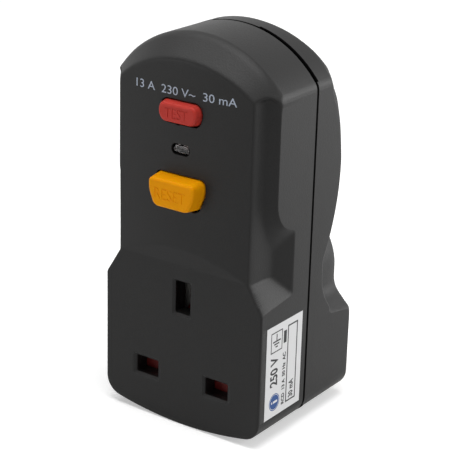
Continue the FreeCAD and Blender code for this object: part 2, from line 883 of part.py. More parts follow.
def socket_insert():
    """The moulding behind the shutter that holds the three clips."""
    plate_depth = (insert_front_depth, insert_front_depth + insert_thickness)
    insert = block((-insert_half_width, insert_half_width), plate_depth, (-insert_half_height, insert_top_z))
    pocket = (insert_front_depth, insert_pocket_depth)
    line_room = line_pin_height / 2 + clip_thickness + clip_mouth + clip_side_gap
    earth_room = earth_pin_width / 2 + clip_thickness + clip_mouth + clip_side_gap
    pocket_half_width = clip_width / 2 + insert_pocket_wall
    for side in (-1, 1):
        insert = insert.fuse(centred_block(side * line_x, pocket_half_width, pocket, 0,
                                           line_room + insert_pocket_wall))
    well = (insert_front_depth, insert_pocket_depth + earth_well_reach)
    insert = insert.fuse(centred_block(0, earth_room + insert_pocket_wall, well, earth_height,
                                       pocket_half_width))
    line_clips = (clip_front_depth - line_clip_end_gap, body_depth)
    for side in (-1, 1):
        insert = insert.cut(centred_block(side * line_x, clip_width / 2, line_clips, 0, line_room))
        insert = insert.cut(centred_block(side * line_x, line_hole_width / 2, (0, body_depth), 0,
                                          line_hole_height / 2))
        insert = insert.cut(lower_boss_room(side))
    earth_clips = (earth_clip_front_depth - earth_clip_end_gap, body_depth)
    insert = insert.cut(centred_block(0, earth_room, earth_clips, earth_height, clip_width / 2))
    insert = insert.cut(centred_block(0, earth_hole_width / 2, (0, body_depth), earth_height,
                                      earth_hole_height / 2 - earth_slot_inset))
    ramp_room = block((-ramp_half_width - moving_gap, ramp_half_width + moving_gap),
                      (insert_front_depth - 1, ramp_back_depth + moving_gap),
                      (ramp_bottom_z - shutter_travel - 1, ramp_top_z + 1))
    return insert.cut(ramp_room)


def shutter_guide():
    """The plate behind the socket face, with a rib at each side that the shutter slides between."""
    height = (-insert_half_height, insert_top_z)
    guide = block((-insert_half_width, insert_half_width), (socket_wall, guide_back_depth), height)
    rib_z = (-guide_rib_half_height, guide_rib_half_height)
    for side in (-1, 1):
        edges = sorted((side * (insert_half_width - guide_rib_width), side * insert_half_width))
        guide = guide.fuse(block(edges, (guide_back_depth, insert_front_depth), rib_z))
        guide = guide.cut(lower_boss_room(side))
    for x, z, width, height in apertures():
        guide = guide.cut(centred_block(x, width / 2, (0, insert_front_depth), z, height / 2))
    spring_room = shutter_spring_radius + spring_wire_radius + moving_gap
    return guide.cut(block((-spring_room, spring_room), (0, insert_front_depth),
                           (-insert_half_height, -shutter_half_height)))


def shutter():
    """The sliding plate that closes live and neutral, with the ramp that an earth pin pushes."""
    back = shutter_depth + shutter_thickness
    plate = block((-shutter_half_width, shutter_half_width), (shutter_depth, back),
                  (-shutter_half_height, shutter_half_height))
    stem = block((-ramp_half_width, ramp_half_width), (shutter_depth, back),
                 (-shutter_half_height, ramp_bottom_z + 1))
    ramp = side_prism([
        (shutter_depth, ramp_bottom_z, 0),
        (back, ramp_bottom_z, 0),
        (ramp_back_depth, ramp_top_z - shutter_thickness, 0),
        (ramp_back_depth, ramp_top_z, 0),
        (shutter_depth, ramp_bottom_z + shutter_thickness, 0),
    ], (-ramp_half_width, ramp_half_width))
    return plate.fuse(stem).fuse(ramp)


def shutter_spring():
    floor = body_bottom_z + wall
    depth = shutter_depth + shutter_thickness - shutter_spring_radius - spring_wire_radius
    height = -shutter_half_height - floor
    base = Vector(0, y_at(depth), floor)
    return coil(shutter_spring_radius, shutter_spring_turns, height, base, Vector(0, 0, 1))


def button(outline, z, proud, stem_radius, stem_end):
    """A push button: proud cap with soft edges, flange behind the panel, and stem."""
    flange_depth = panel_inner_depth + moving_gap
    cap = front_prism(outline(0), (proud, flange_depth))
    cap = cap.makeFillet(button_edge_radius, edges_at(cap, proud))
    flange = front_prism(outline(button_flange_rim), (flange_depth, flange_depth + button_flange_thickness))
    stem = rod(stem_radius, 0, z, (flange_depth, stem_end))
    return cap.fuse(flange).fuse(stem)


def test_button():
    return button(test_outline, test_z, test_proud_depth, test_stem_radius, test_stem_end_depth)


def reset_button():
    return button(reset_outline, reset_z, reset_proud_depth, reset_stem_radius, reset_stem_end_depth)


def button_spring(z, radius, turns):
    seat = panel_inner_depth + moving_gap + button_flange_thickness
    return coil(radius, turns, frame_front_depth - seat, Vector(0, y_at(seat), z), Vector(0, 1, 0))


def indicator_lens():
    lens = front_prism(lens_outline(0), (lens_sunk - panel_bulge, panel_inner_depth))
    rim = front_prism(lens_outline(lens_rim), (panel_inner_depth, panel_inner_depth + lens_flange_thickness))
    return lens.fuse(rim)


def indicator_lamp():
    body = rod(lamp_radius, 0, indicator_z, (lamp_front_depth + lamp_radius, frame_front_depth))
    dome = Part.makeSphere(lamp_radius, Vector(0, y_at(lamp_front_depth + lamp_radius), indicator_z))
    return body.fuse(dome)


def frame_boss_places():
    return [(side * frame_boss_x, z) for side in (-1, 1)
            for z in (frame_bottom_z + frame_boss_inset_z, frame_top_z - frame_boss_inset_z)]


def mechanism_frame():
    """The moulded frame on the board: a front plate with guide holes, and two side walls."""
    height = (frame_bottom_z, frame_top_z)
    frame = block((-frame_half_width, frame_half_width), (frame_front_depth, frame_back_of_plate), height)
    for side in (-1, 1):
        edges = sorted((side * (frame_half_width - frame_wall), side * frame_half_width))
        frame = frame.fuse(block(edges, (frame_front_depth, board_front_depth), height))
    boss_depth = (board_front_depth - frame_boss_length, board_front_depth)
    pilot_depth = (board_front_depth - board_screw_length - pilot_hole_reach, board_front_depth)
    for x, z in frame_boss_places():
        frame = frame.fuse(rod(frame_boss_radius, x, z, boss_depth))
        frame = frame.cut(rod(board_screw_radius, x, z, pilot_depth))
    frame = frame.cut(rod(test_stem_radius + moving_gap, 0, test_z, (0, board_front_depth)))
    frame = frame.cut(rod(reset_stem_radius + moving_gap, 0, reset_z, (0, board_front_depth)))
    return frame.cut(cross_rod(latch_pin_radius, frame_half_width, latch_pivot_depth, latch_pivot_z))


def circuit_board():
    middle_z = (board_bottom_z + board_top_z) / 2
    half_height = (board_top_z - board_bottom_z) / 2
    outline = rectangle(0, middle_z, board_half_width, half_height, board_corner_radius)
    board = front_prism(outline, (board_front_depth, board_back_depth))
    for x, z in frame_boss_places():
        board = board.cut(rod(board_screw_radius + bore_gap, x, z, (0, body_depth)))
    return board


def board_screws():
    screws = []
    for x, z in frame_boss_places():
        shaft = rod(board_screw_radius, x, z, (board_front_depth - board_screw_length, board_back_depth))
        head = rod(board_screw_head_radius, x, z, (board_back_depth, board_back_depth + board_screw_head))
        screws.append(shaft.fuse(head))
    return Part.makeCompound(screws)


def case_screws():
    screws = []
    for x, z, seat, start in screw_places():
        shaft = rod(screw_radius, x, z, (screw_tip_depth, seat))
        head = rod(screw_head_radius, x, z, (seat, seat + screw_head_height))
        slot = (seat + screw_head_height - screw_slot_depth, seat + screw_head_height + 1)
        head = head.cut(centred_block(x, screw_slot_half_length, slot, z, screw_slot_half_width))
        head = head.cut(centred_block(x, screw_slot_half_width, slot, z, screw_slot_half_length))
        screws.append(shaft.fuse(head))
    return Part.makeCompound(screws)


def contact_carrier():
    half = frame_half_width - frame_wall - moving_gap
    return block((-half, half), (carrier_front_depth, carrier_front_depth + carrier_thickness),
                 (carrier_bottom_z, carrier_top_z))


def contact_plate(side, depth):
    return centred_block(side * contact_x, contact_plate_half_width, depth, carrier_middle_z,
                         contact_plate_half_width)


def moving_contacts():
    start = carrier_front_depth + carrier_thickness
    plates = []
    for side in (-1, 1):
        plate = contact_plate(side, (start, start + contact_plate_thickness))
        tip_start = start + contact_plate_thickness
        tip_depth = (tip_start, tip_start + moving_tip_height)
        plates.append(plate.fuse(rod(contact_tip_radius, side * contact_x, carrier_middle_z, tip_depth)))
    return Part.makeCompound(plates)


def fixed_contact(side):
    plate_front = board_front_depth - contact_plate_thickness
    plate = contact_plate(side, (plate_front, board_front_depth))
    tip_depth = (plate_front - contact_tip_height, plate_front)
    return plate.fuse(rod(contact_tip_radius, side * contact_x, carrier_middle_z, tip_depth))


def opening_spring():
    start = carrier_front_depth + carrier_thickness
    base = Vector(0, y_at(start), carrier_middle_z)
    return coil(opening_spring_radius, opening_spring_turns, board_front_depth - start, base, Vector(0, 1, 0))


def trip_bobbin():
    bobbin = upright_rod(bobbin_tube_radius, 0, trip_axis_depth, (bobbin_bottom_z, bobbin_top_z))
    flange_depth = (2 * trip_axis_depth - board_front_depth, board_front_depth)
    flange_x = (-bobbin_half_width, bobbin_half_width)
    for z in (bobbin_bottom_z, bobbin_top_z - bobbin_flange):
        bobbin = bobbin.fuse(block(flange_x, flange_depth, (z, z + bobbin_flange)))
    bore_z = (bobbin_bottom_z + bobbin_flange, bobbin_top_z + 1)
    exit_z = (bobbin_bottom_z - 1, bobbin_top_z)
    bobbin = bobbin.cut(upright_rod(bobbin_bore_radius, 0, trip_axis_depth, bore_z))
    return bobbin.cut(upright_rod(bobbin_exit_radius, 0, trip_axis_depth, exit_z))


def trip_winding():
    span = (bobbin_bottom_z + bobbin_flange, bobbin_top_z - bobbin_flange)
    outer = upright_rod(trip_winding_radius, 0, trip_axis_depth, span)
    return outer.cut(upright_rod(bobbin_tube_radius, 0, trip_axis_depth, span))


def trip_plunger():
    slug = upright_rod(plunger_radius, 0, trip_axis_depth, (plunger_slug_bottom_z, plunger_slug_top_z))
    rod_z = (plunger_rod_end_z, plunger_slug_bottom_z)
    return slug.fuse(upright_rod(plunger_rod_radius, 0, trip_axis_depth, rod_z))


def plunger_spring():
    floor = bobbin_bottom_z + bobbin_flange
    height = plunger_slug_bottom_z - floor
    base = Vector(0, y_at(trip_axis_depth), floor)
    return coil(plunger_spring_radius, plunger_spring_turns, height, base, Vector(0, 0, 1))


def trip_latch():
    """A bell crank on a pin: its upper arm lies under the plunger, its hook points at the carrier."""
    arm = ribbon([
        (trip_axis_depth - plunger_rod_radius, latch_pivot_z + latch_arm_rise),
        (trip_axis_depth + plunger_rod_radius, latch_pivot_z + latch_arm_rise - latch_arm_fall),
        (latch_pivot_depth, latch_pivot_z),
        (latch_pivot_depth - latch_leg_lean, latch_pivot_z - latch_hook_drop + latch_leg_fall),
        (latch_pivot_depth - latch_hook_reach, latch_pivot_z - latch_hook_drop),
    ], latch_thickness)
    latch = side_prism(arm, (-latch_half_width, latch_half_width))
    latch = latch.fuse(cross_rod(latch_boss_radius, latch_half_width, latch_pivot_depth, latch_pivot_z))
    return latch.cut(cross_rod(latch_pin_radius + bore_gap, far, latch_pivot_depth, latch_pivot_z))


def ring(outer, inner, depth):
    return rod(outer, 0, transformer_z, depth).cut(rod(inner, 0, transformer_z, depth))


def transformer_core():
    start = board_back_depth + winding_thickness
    return ring(core_outer_radius, core_inner_radius, (start, start + core_thickness))


def transformer_winding():
    start = board_back_depth
    span = (start, start + core_thickness + 2 * winding_thickness)
    sleeve = ring(core_outer_radius + winding_thickness, core_inner_radius - winding_thickness, span)
    centre = Vector(0, y_at(start) - 1, transformer_z)
    sector = Part.makeCylinder(far, far, centre, Vector(0, 1, 0), winding_angle)
    return sleeve.common(sector).cut(transformer_core())


def varistor():
    start = board_back_depth + varistor_leg_length
    disc = rod(varistor_radius, varistor_x, varistor_z, (start, start + varistor_thickness))
    for side in (-1, 1):
        disc = disc.fuse(rod(varistor_leg_radius, varistor_x + side * varistor_radius / 2, varistor_z,
                             (board_back_depth, start)))
    return disc


def capacitor():
    depth = (board_back_depth, board_back_depth + capacitor_depth)
    return centred_block(capacitor_x, capacitor_half_width, depth, capacitor_z, capacitor_half_height)


def test_strip():
    """A bent spring strip that the test button's stem presses at the end of its travel."""
    root = board_front_depth - test_strip_thickness / 2
    tip = test_stem_stop_depth + moving_gap + test_strip_thickness / 2
    strip = ribbon([
        (root, test_z + test_strip_top),
        (root, test_z + test_strip_bend),
        (tip, test_z + test_strip_knee),
        (tip, test_z - test_strip_tip),
    ], test_strip_thickness)
    return side_prism(strip, (-test_strip_half_width, test_strip_half_width))


def strap(side):
    """From a plug pin's tail up and forward to the back of the board."""
    tail = pin_tail_depth - strap_thickness / 2
    end = board_back_depth + strap_thickness / 2
    path = ribbon([
        (tail, -line_pin_height / 2),
        (tail, strap_knee_z),
        (end, strap_board_z),
        (end, board_bottom_z + strap_lap),
    ], strap_thickness)
    return side_prism(path, (side * line_x - strap_width / 2, side * line_x + strap_width / 2))


def link(side):
    """From a socket clip's back up to the front of the board."""
    start = clip_back_depth + clip_thickness / 2 + strap_thickness / 2
    end = board_front_depth - strap_thickness / 2
    path = ribbon([
        (start, -link_foot_drop),
        (start, link_knee_z),
        (end, link_board_z),
        (end, frame_bottom_z - link_end_gap),
    ], strap_thickness)
    return side_prism(path, (side * line_x - strap_width / 2, side * line_x + strap_width / 2))


def earth_strap():
    """From the earth clip's back to the earth pin's tail."""
    start = earth_clip_back_depth + clip_thickness / 2 + strap_thickness / 2
    end = pin_tail_depth - strap_thickness / 2
    low = earth_height - clip_width / 2
    high = earth_height + clip_width / 2 + earth_strap_rise
    path = ribbon([(start, low), (start, high), (end, high), (end, low)], strap_thickness)
    return side_prism(path, (-strap_width / 2, strap_width / 2))


pieces = {
    "front_shell": front_shell(),
    "rear_shell": rear_shell(),
    "case_screws": case_screws(),
    "side_label": label_solid(),
    "shutter_guide": shutter_guide(),
    "shutter": shutter(),
    "shutter_spring": shutter_spring(),
    "socket_insert": socket_insert(),
    "live_contact": line_contact(1),
    "neutral_contact": line_contact(-1),
    "earth_contact": earth_contact(),
    "live_pin": pin(line_x, 0, line_pin_width, line_pin_height, line_pin_length, True),
    "neutral_pin": pin(-line_x, 0, line_pin_width, line_pin_height, line_pin_length, True),
    "earth_pin": pin(0, earth_height, earth_pin_width, earth_pin_height, earth_pin_length, False),
    "live_pin_sleeve": pin_sleeve(line_x, 0, line_pin_width, line_pin_height),
    "neutral_pin_sleeve": pin_sleeve(-line_x, 0, line_pin_width, line_pin_height),
    "live_strap": strap(1),
    "neutral_strap": strap(-1),
    "earth_strap": earth_strap(),
    "live_link": link(1),
    "neutral_link": link(-1),
    "test_button": test_button(),
    "test_spring": button_spring(test_z, test_spring_radius, test_spring_turns),
    "test_strip": test_strip(),
    "reset_button": reset_button(),
    "reset_spring": button_spring(reset_z, reset_spring_radius, reset_spring_turns),
    "indicator_lens": indicator_lens(),
    "indicator_lamp": indicator_lamp(),
    "mechanism_frame": mechanism_frame(),
    "circuit_board": circuit_board(),
    "board_screws": board_screws(),
    "contact_carrier": contact_carrier(),
    "moving_contacts": moving_contacts(),
    "live_fixed_contact": fixed_contact(1),
    "neutral_fixed_contact": fixed_contact(-1),
    "opening_spring": opening_spring(),
    "trip_bobbin": trip_bobbin(),
    "trip_winding": trip_winding(),
    "trip_plunger": trip_plunger(),
    "plunger_spring": plunger_spring(),
    "trip_latch": trip_latch(),
    "latch_pin": cross_rod(latch_pin_radius, frame_half_width, latch_pivot_depth, latch_pivot_z),
    "transformer_core": transformer_core(),
    "transformer_winding": transformer_winding(),
    "varistor": varistor(),
    "capacitor": capacitor(),
}

for name, shape in pieces.items():
    clean = shape.removeSplitter()
    clean.exportStep("parts/" + name + ".step")
    print(name, "valid" if clean.isValid() else "NOT VALID", len(clean.Solids), round(clean.Volume, 1))
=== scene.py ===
import contextlib
import math

import bmesh
import bpy
import numpy as np
from bpy.props import (
    FloatProperty,
    FloatVectorProperty,
    IntProperty,
    PointerProperty,
    StringProperty,
)
from mathutils import Matrix, Vector


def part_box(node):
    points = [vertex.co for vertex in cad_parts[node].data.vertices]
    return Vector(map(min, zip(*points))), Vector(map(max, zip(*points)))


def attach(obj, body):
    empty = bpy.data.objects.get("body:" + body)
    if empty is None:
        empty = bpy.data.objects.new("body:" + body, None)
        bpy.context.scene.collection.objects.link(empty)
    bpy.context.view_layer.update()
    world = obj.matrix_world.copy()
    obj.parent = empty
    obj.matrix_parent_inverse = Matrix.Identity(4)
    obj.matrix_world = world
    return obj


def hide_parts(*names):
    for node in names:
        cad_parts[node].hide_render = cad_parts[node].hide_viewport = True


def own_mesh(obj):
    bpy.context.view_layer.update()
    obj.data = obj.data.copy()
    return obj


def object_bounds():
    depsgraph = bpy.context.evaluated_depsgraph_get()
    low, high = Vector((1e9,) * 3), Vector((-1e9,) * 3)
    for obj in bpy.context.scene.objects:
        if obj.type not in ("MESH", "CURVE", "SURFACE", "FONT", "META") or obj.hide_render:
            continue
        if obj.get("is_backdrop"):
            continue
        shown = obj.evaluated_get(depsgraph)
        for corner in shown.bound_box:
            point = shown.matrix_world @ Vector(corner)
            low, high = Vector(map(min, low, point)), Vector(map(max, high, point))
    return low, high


bl_info = {
    "name": "Plug-in safety adapter",
    "version": (1, 0, 0),
    "blender": (4, 5, 0),
    "location": "3D View > Sidebar > Adapter",
    "description": "Dresses the adapter's fixed frame with its visible pieces, finishes and studio",
    "category": "Object",
}

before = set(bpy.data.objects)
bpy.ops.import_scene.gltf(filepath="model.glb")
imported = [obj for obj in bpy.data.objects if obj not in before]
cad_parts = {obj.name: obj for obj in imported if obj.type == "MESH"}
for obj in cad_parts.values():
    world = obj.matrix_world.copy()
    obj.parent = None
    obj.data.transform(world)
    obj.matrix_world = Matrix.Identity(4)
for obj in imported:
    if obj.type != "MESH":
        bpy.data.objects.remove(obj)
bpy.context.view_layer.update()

MM = 0.001
BODY_DEPTH = 43.0


def mm(*values):
    """Turn millimetres into a vector in metres."""
    return Vector([value * MM for value in values])


# Settings


def colour_setting(name, description, default):
    """Describe a setting for a colour."""
    return FloatVectorProperty(
        name=name, description=description, subtype="COLOR", default=default)


def length_setting(name, description, default):
    """Describe a setting for a length, in metres."""
    return FloatProperty(name=name, description=description, unit="LENGTH", default=default)


def angle_setting(name, description, degrees):
    """Describe a setting for an angle, its default given in degrees."""
    return FloatProperty(
        name=name, description=description, subtype="ANGLE", default=math.radians(degrees))


class HousingSettings(bpy.types.PropertyGroup):
    plastic_colour: colour_setting(
        "Plastic colour", "Colour of the black moulded cover and back", (0.0070, 0.0068, 0.0067))
    grain_size: length_setting("Grain size", "Size of one pit of the moulded texture", 0.00042)
    edge_softness: length_setting(
        "Edge softness", "How far the edges of the front's steps are rounded", 0.00029)
    back_softness: length_setting(
        "Back softness", "How far the edges of the back's waist and plug block are rounded",
        0.00045)
    sharp_angle: angle_setting("Sharp angle", "Edges that turn more than this stay crisp", 28)


class ButtonSettings(bpy.types.PropertyGroup):
    test_colour: colour_setting(
        "Test button colour", "Colour of the red button", (0.50, 0.043, 0.032))
    reset_colour: colour_setting(
        "Reset button colour", "Colour of the yellow button", (0.84, 0.325, 0.001))
    letter_depth: length_setting(
        "Letter depth", "How deep the words are sunk into the buttons", 0.00012)
    stroke_growth: length_setting(
        "Stroke growth", "How much the sunk strokes are widened", -0.00003)


class PrintSettings(bpy.types.PropertyGroup):
    rating: StringProperty(
        name="Rating",
        description="Plain electrical rating printed above the buttons",
        default="13 A  230 V~  30 mA",
    )
    front_ink: colour_setting(
        "Front ink", "Colour of the print on the black panel", (0.42, 0.47, 0.56))
    paper: colour_setting("Paper", "Colour of the side label", (0.63, 0.63, 0.635))
    label_ink: colour_setting(
        "Label ink", "Colour of the black print on the label", (0.012, 0.012, 0.013))
    disc_ink: colour_setting(
        "Disc ink", "Colour of the blue disc on the label", (0.010, 0.060, 0.220))


class WindingSettings(bpy.types.PropertyGroup):
    coil_turns: IntProperty(
        name="Coil turns",
        description="Turns of wire that show on the trip coil",
        default=30,
        min=4,
    )
    ring_turns: IntProperty(
        name="Ring turns",
        description="Turns of wire that show on the current transformer",
        default=58,
        min=4,
    )


class StudioSettings(bpy.types.PropertyGroup):
    azimuth: angle_setting("Azimuth", "Camera angle to the right of straight on", 35.0)
    elevation: angle_setting("Elevation", "Camera angle above level", 20.54)
    roll: angle_setting("Roll", "Camera turn about its own line of sight", 1.62)
    lens: FloatProperty(
        name="Lens",
        description="Focal length in millimetres on a 36 mm sensor",
        default=123.47,
    )
    place: FloatVectorProperty(
        name="Place",
        description="Where the camera stands",
        subtype="TRANSLATION",
        unit="LENGTH",
        default=(0.2206, -0.3375, 0.1790),
    )


# Meshes


def link_mesh(name, mesh):
    """Put a mesh into the scene as an object at the origin."""
    piece = bpy.data.objects.new(name, mesh)
    bpy.context.scene.collection.objects.link(piece)
    return piece


def evaluated_mesh(piece):
    """Return the mesh of a piece with its modifiers applied."""
    depsgraph = bpy.context.evaluated_depsgraph_get()
    depsgraph.update()
    return bpy.data.meshes.new_from_object(piece.evaluated_get(depsgraph))


@contextlib.contextmanager
def editing(mesh):
    """Open a mesh for editing, and store the result in it."""
    work = bmesh.new()
    work.from_mesh(mesh)
    yield work
    work.to_mesh(mesh)
    work.free()


def clean_mesh(mesh):
    """Merge a mesh's double points and turn its faces outwards."""
    with editing(mesh) as work:
        bmesh.ops.remove_doubles(work, verts=work.verts, dist=1e-7)
        bmesh.ops.recalc_face_normals(work, faces=work.faces)
    return mesh


def joined_rings(rings):
    """Faces between rings of point numbers, each ring with as many points as the next."""
    faces = []
    for near, far in zip(rings, rings[1:]):
        for i in range(len(near)):
            n = (i + 1) % len(near)
            faces.append((near[i], far[i], far[n], near[n]))
    return faces


def solid(name, points, faces):
    """A closed piece from points in millimetres, its faces turned outwards."""
    mesh = bpy.data.meshes.new(name)
    mesh.from_pydata([mm(*point) for point in points], [], faces)
    return link_mesh(name, clean_mesh(mesh))


def merged_mesh(node, name):
    """Copy a fixed node's mesh with its loose triangles joined."""
    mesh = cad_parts[node].data.copy()
    mesh.name = name
    mesh.materials.clear()
    with editing(mesh) as work:
        bmesh.ops.remove_doubles(work, verts=work.verts, dist=2e-6)
        bmesh.ops.dissolve_degenerate(work, edges=work.edges, dist=1e-7)
    mesh.update()
    return mesh


def smooth(mesh, sharp_angle):
    """Shade a mesh smooth, but keep the edges that turn more than the angle."""
    mesh.shade_smooth()
    mesh.set_sharp_from_angle(angle=sharp_angle)
    return mesh


def bake_modifiers(piece):
    """Replace a piece's modifiers by their result."""
    mesh = evaluated_mesh(piece)
    piece.modifiers.clear()
    old = piece.data
    piece.data = mesh
    bpy.data.meshes.remove(old)
    return piece


def weigh_normals(piece):
    """Let large faces lead the shading, so flats stay flat beside rounded edges."""
    weighted = piece.modifiers.new("Weighted normals", "WEIGHTED_NORMAL")
    weighted.keep_sharp = True
    weighted.weight = 60
    return bake_modifiers(piece)


def words_mesh(text, cap_height, width, extrude=0.0, growth=0.0):
    """Return flat or raised words, centred on the origin in the XY plane, in metres."""
    curve = bpy.data.curves.new("words", "FONT")
    curve.body = text
    curve.size = 1.0
    curve.align_x = "CENTER"
    curve.resolution_u = 4
    carrier = bpy.data.objects.new("words", curve)
    bpy.context.scene.collection.objects.link(carrier)
    flat = evaluated_mesh(carrier)
    heights = [vertex.co.y for vertex in flat.vertices]
    scale = cap_height / (max(heights) - min(heights))
    bpy.data.meshes.remove(flat)
    curve.extrude = extrude / scale
    curve.offset = growth / scale
    mesh = evaluated_mesh(carrier)
    bpy.data.objects.remove(carrier)
    mesh.transform(Matrix.Scale(scale, 4))
    xs = [vertex.co.x for vertex in mesh.vertices]
    ys = [vertex.co.y for vertex in mesh.vertices]
    centre = Vector(((min(xs) + max(xs)) / 2, (min(ys) + max(ys)) / 2, 0))
    mesh.transform(Matrix.Translation(-centre))
    mesh.transform(Matrix.Diagonal((width / (max(xs) - min(xs)), 1, 1, 1)))
    return mesh


def box_sides(box):
    """Lower and upper corner of a box in millimetres, their y counted from the socket face."""
    return [Vector(corner) / MM + Vector((0, BODY_DEPTH, 0)) for corner in box]


def facing_front(x, depth, z):
    """Matrix that stands a flat mesh up against the front, reading from the socket face."""
    turn = Matrix.Rotation(math.radians(90), 4, "X")
    return Matrix.Translation(mm(x, depth - BODY_DEPTH, z)) @ turn


# Finishes


def group_socket(group, name, kind, direction, default=None):
    """Add a socket to a shader or geometry group."""
    socket = group.interface.new_socket(name=name, in_out=direction, socket_type=kind)
    if default is not None:
        socket.default_value = default
    return socket


def feed(tree, socket, value):
    """Give an input a value, or link it to another node's output."""
    if isinstance(value, bpy.types.NodeSocket):
        tree.links.new(value, socket)
    else:
        socket.default_value = value


def add_node(tree, kind, **inputs):
    """Add a node, its inputs set to values or linked to other nodes' outputs."""
    node = tree.nodes.new(kind)
    for label, value in inputs.items():
        feed(tree, node.inputs[label.replace("_", " ")], value)
    return node


def maths(tree, operation, *values):
    """Add a maths node fed with these values, and return its output."""
    node = tree.nodes.new("ShaderNodeMath")
    node.operation = operation
    for socket, value in zip(node.inputs, values):
        feed(tree, socket, value)
    return node.outputs[0]


def scaled(tree, vector, factor):
    """Add a node that scales a vector or a colour, and return its output."""
    node = tree.nodes.new("ShaderNodeVectorMath")
    node.operation = "SCALE"
    feed(tree, node.inputs[0], vector)
    feed(tree, node.inputs["Scale"], factor)
    return node.outputs[0]


GRAIN_INPUTS = (
    ("Colour", "NodeSocketColor", (0.5, 0.5, 0.5, 1)),
    ("Grain per metre", "NodeSocketFloat", 3000.0),
    ("Grain height", "NodeSocketFloat", 0.00001),
    ("Tone change", "NodeSocketFloat", 0.1),
    ("Roughness", "NodeSocketFloat", 0.45),
    ("Roughness change", "NodeSocketFloat", 0.08),
)
CLOUDS_PER_METRE, GRAIN_SHARE, CLOUD_SHARE = 90.0, 0.7, 0.3
GLOW_REACH, GLOW_SCALE = (1.0, 0.35, 0.2), 0.6 * MM


def moulded_grain_group():
    """Group: the fine pitted texture of a moulded plastic, as tone, roughness and normal."""
    if "Moulded grain" in bpy.data.node_groups:
        return bpy.data.node_groups["Moulded grain"]
    tree = bpy.data.node_groups.new("Moulded grain", "ShaderNodeTree")
    for name, kind, default in GRAIN_INPUTS:
        group_socket(tree, name, kind, "INPUT", default)
    group_socket(tree, "Colour", "NodeSocketColor", "OUTPUT")
    group_socket(tree, "Roughness", "NodeSocketFloat", "OUTPUT")
    group_socket(tree, "Normal", "NodeSocketVector", "OUTPUT")
    given = tree.nodes.new("NodeGroupInput").outputs
    place = tree.nodes.new("ShaderNodeTexCoord").outputs["Object"]
    grain = add_node(tree, "ShaderNodeTexNoise", Vector=place, Scale=given["Grain per metre"],
                     Detail=2.0, Roughness=0.6).outputs["Fac"]
    cloud = add_node(tree, "ShaderNodeTexNoise", Vector=place, Scale=CLOUDS_PER_METRE,
                     Detail=3.0).outputs["Fac"]
    faded = maths(tree, "MULTIPLY", cloud, CLOUD_SHARE)
    swing = maths(tree, "SUBTRACT", maths(tree, "MULTIPLY_ADD", grain, GRAIN_SHARE, faded), 0.5)
    tone = maths(tree, "MULTIPLY_ADD", swing, given["Tone change"], 1.0)
    rough = maths(tree, "MULTIPLY_ADD", swing, given["Roughness change"], given["Roughness"])
    lift = maths(tree, "MULTIPLY", grain, given["Grain height"])
    bump = add_node(tree, "ShaderNodeBump", Distance=1.0, Height=lift)
    add_node(tree, "NodeGroupOutput", Colour=scaled(tree, given["Colour"], tone),
             Roughness=rough, Normal=bump.outputs["Normal"])
    return tree


def finish(name, colour, roughness, grain=0.0004, height=0.000006, tone=0.12,
           rough_change=0.08, metallic=0.0, specular=0.5, transmission=0.0,
           subsurface=0.0, ior=1.5):
    """Return the finish of this name: one shader fed by the moulded grain group."""
    if name in bpy.data.materials:
        return bpy.data.materials[name]
    material = bpy.data.materials.new(name)
    material.use_nodes = True
    tree = material.node_tree
    shader = tree.nodes["Principled BSDF"]
    group = tree.nodes.new("ShaderNodeGroup")
    group.node_tree = moulded_grain_group()
    values = ((*colour, 1), 1 / grain, height, tone, roughness, rough_change)
    for (label, _, _), value in zip(GRAIN_INPUTS, values):
        group.inputs[label].default_value = value
    fed = {
        "Base Color": group.outputs["Colour"], "Roughness": group.outputs["Roughness"],
        "Normal": group.outputs["Normal"], "Metallic": metallic, "IOR": ior,
        "Specular IOR Level": specular, "Transmission Weight": transmission,
    }
    if subsurface:
        fed |= {"Subsurface Weight": subsurface, "Subsurface Radius": GLOW_REACH,
                "Subsurface Scale": GLOW_SCALE}
    for label, value in fed.items():
        feed(tree, shader.inputs[label], value)
    material.diffuse_color = (*colour, 1)
    return material


def wear(material, *pieces):
    """Give pieces or fixed nodes a finish."""
    for piece in pieces:
        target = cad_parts[piece] if isinstance(piece, str) else piece
        if not target.data.materials:
            target.data.materials.append(material)
        for slot in target.material_slots:
            slot.material = material


def black_plastic(settings):
    """The satin black of the cover and the back."""
    return finish("Satin black moulding", settings.plastic_colour, 0.47,
                  grain=settings.grain_size, height=0.000034, tone=1.3, rough_change=0.25,
                  specular=0.25)


def spring_steel():
    """The bright drawn wire of the springs."""
    return finish("Spring steel", (0.50, 0.49, 0.47), 0.26, grain=0.0003, height=0.000001,
                  tone=0.12, rough_change=0.1, metallic=1.0)


def dress(piece, body, slot, *nodes):
    """Let a finished piece stand for its nodes and move with its body."""
    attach(piece, body)
    if nodes:
        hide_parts(*nodes)
    return piece


# Pieces

# Skin of the front cover. Depths are in millimetres from the socket face, as in the frame.
# Each end of the outline is an arc (radius, height of its centre, radius of its corners, way up).

HALF_WIDTH = 24.65
TOP = (30.55, 59.75, 3.5, 1)
FOOT = (100.0, 86.7, 5.2, -1)
SKIN_INSET = 0.03

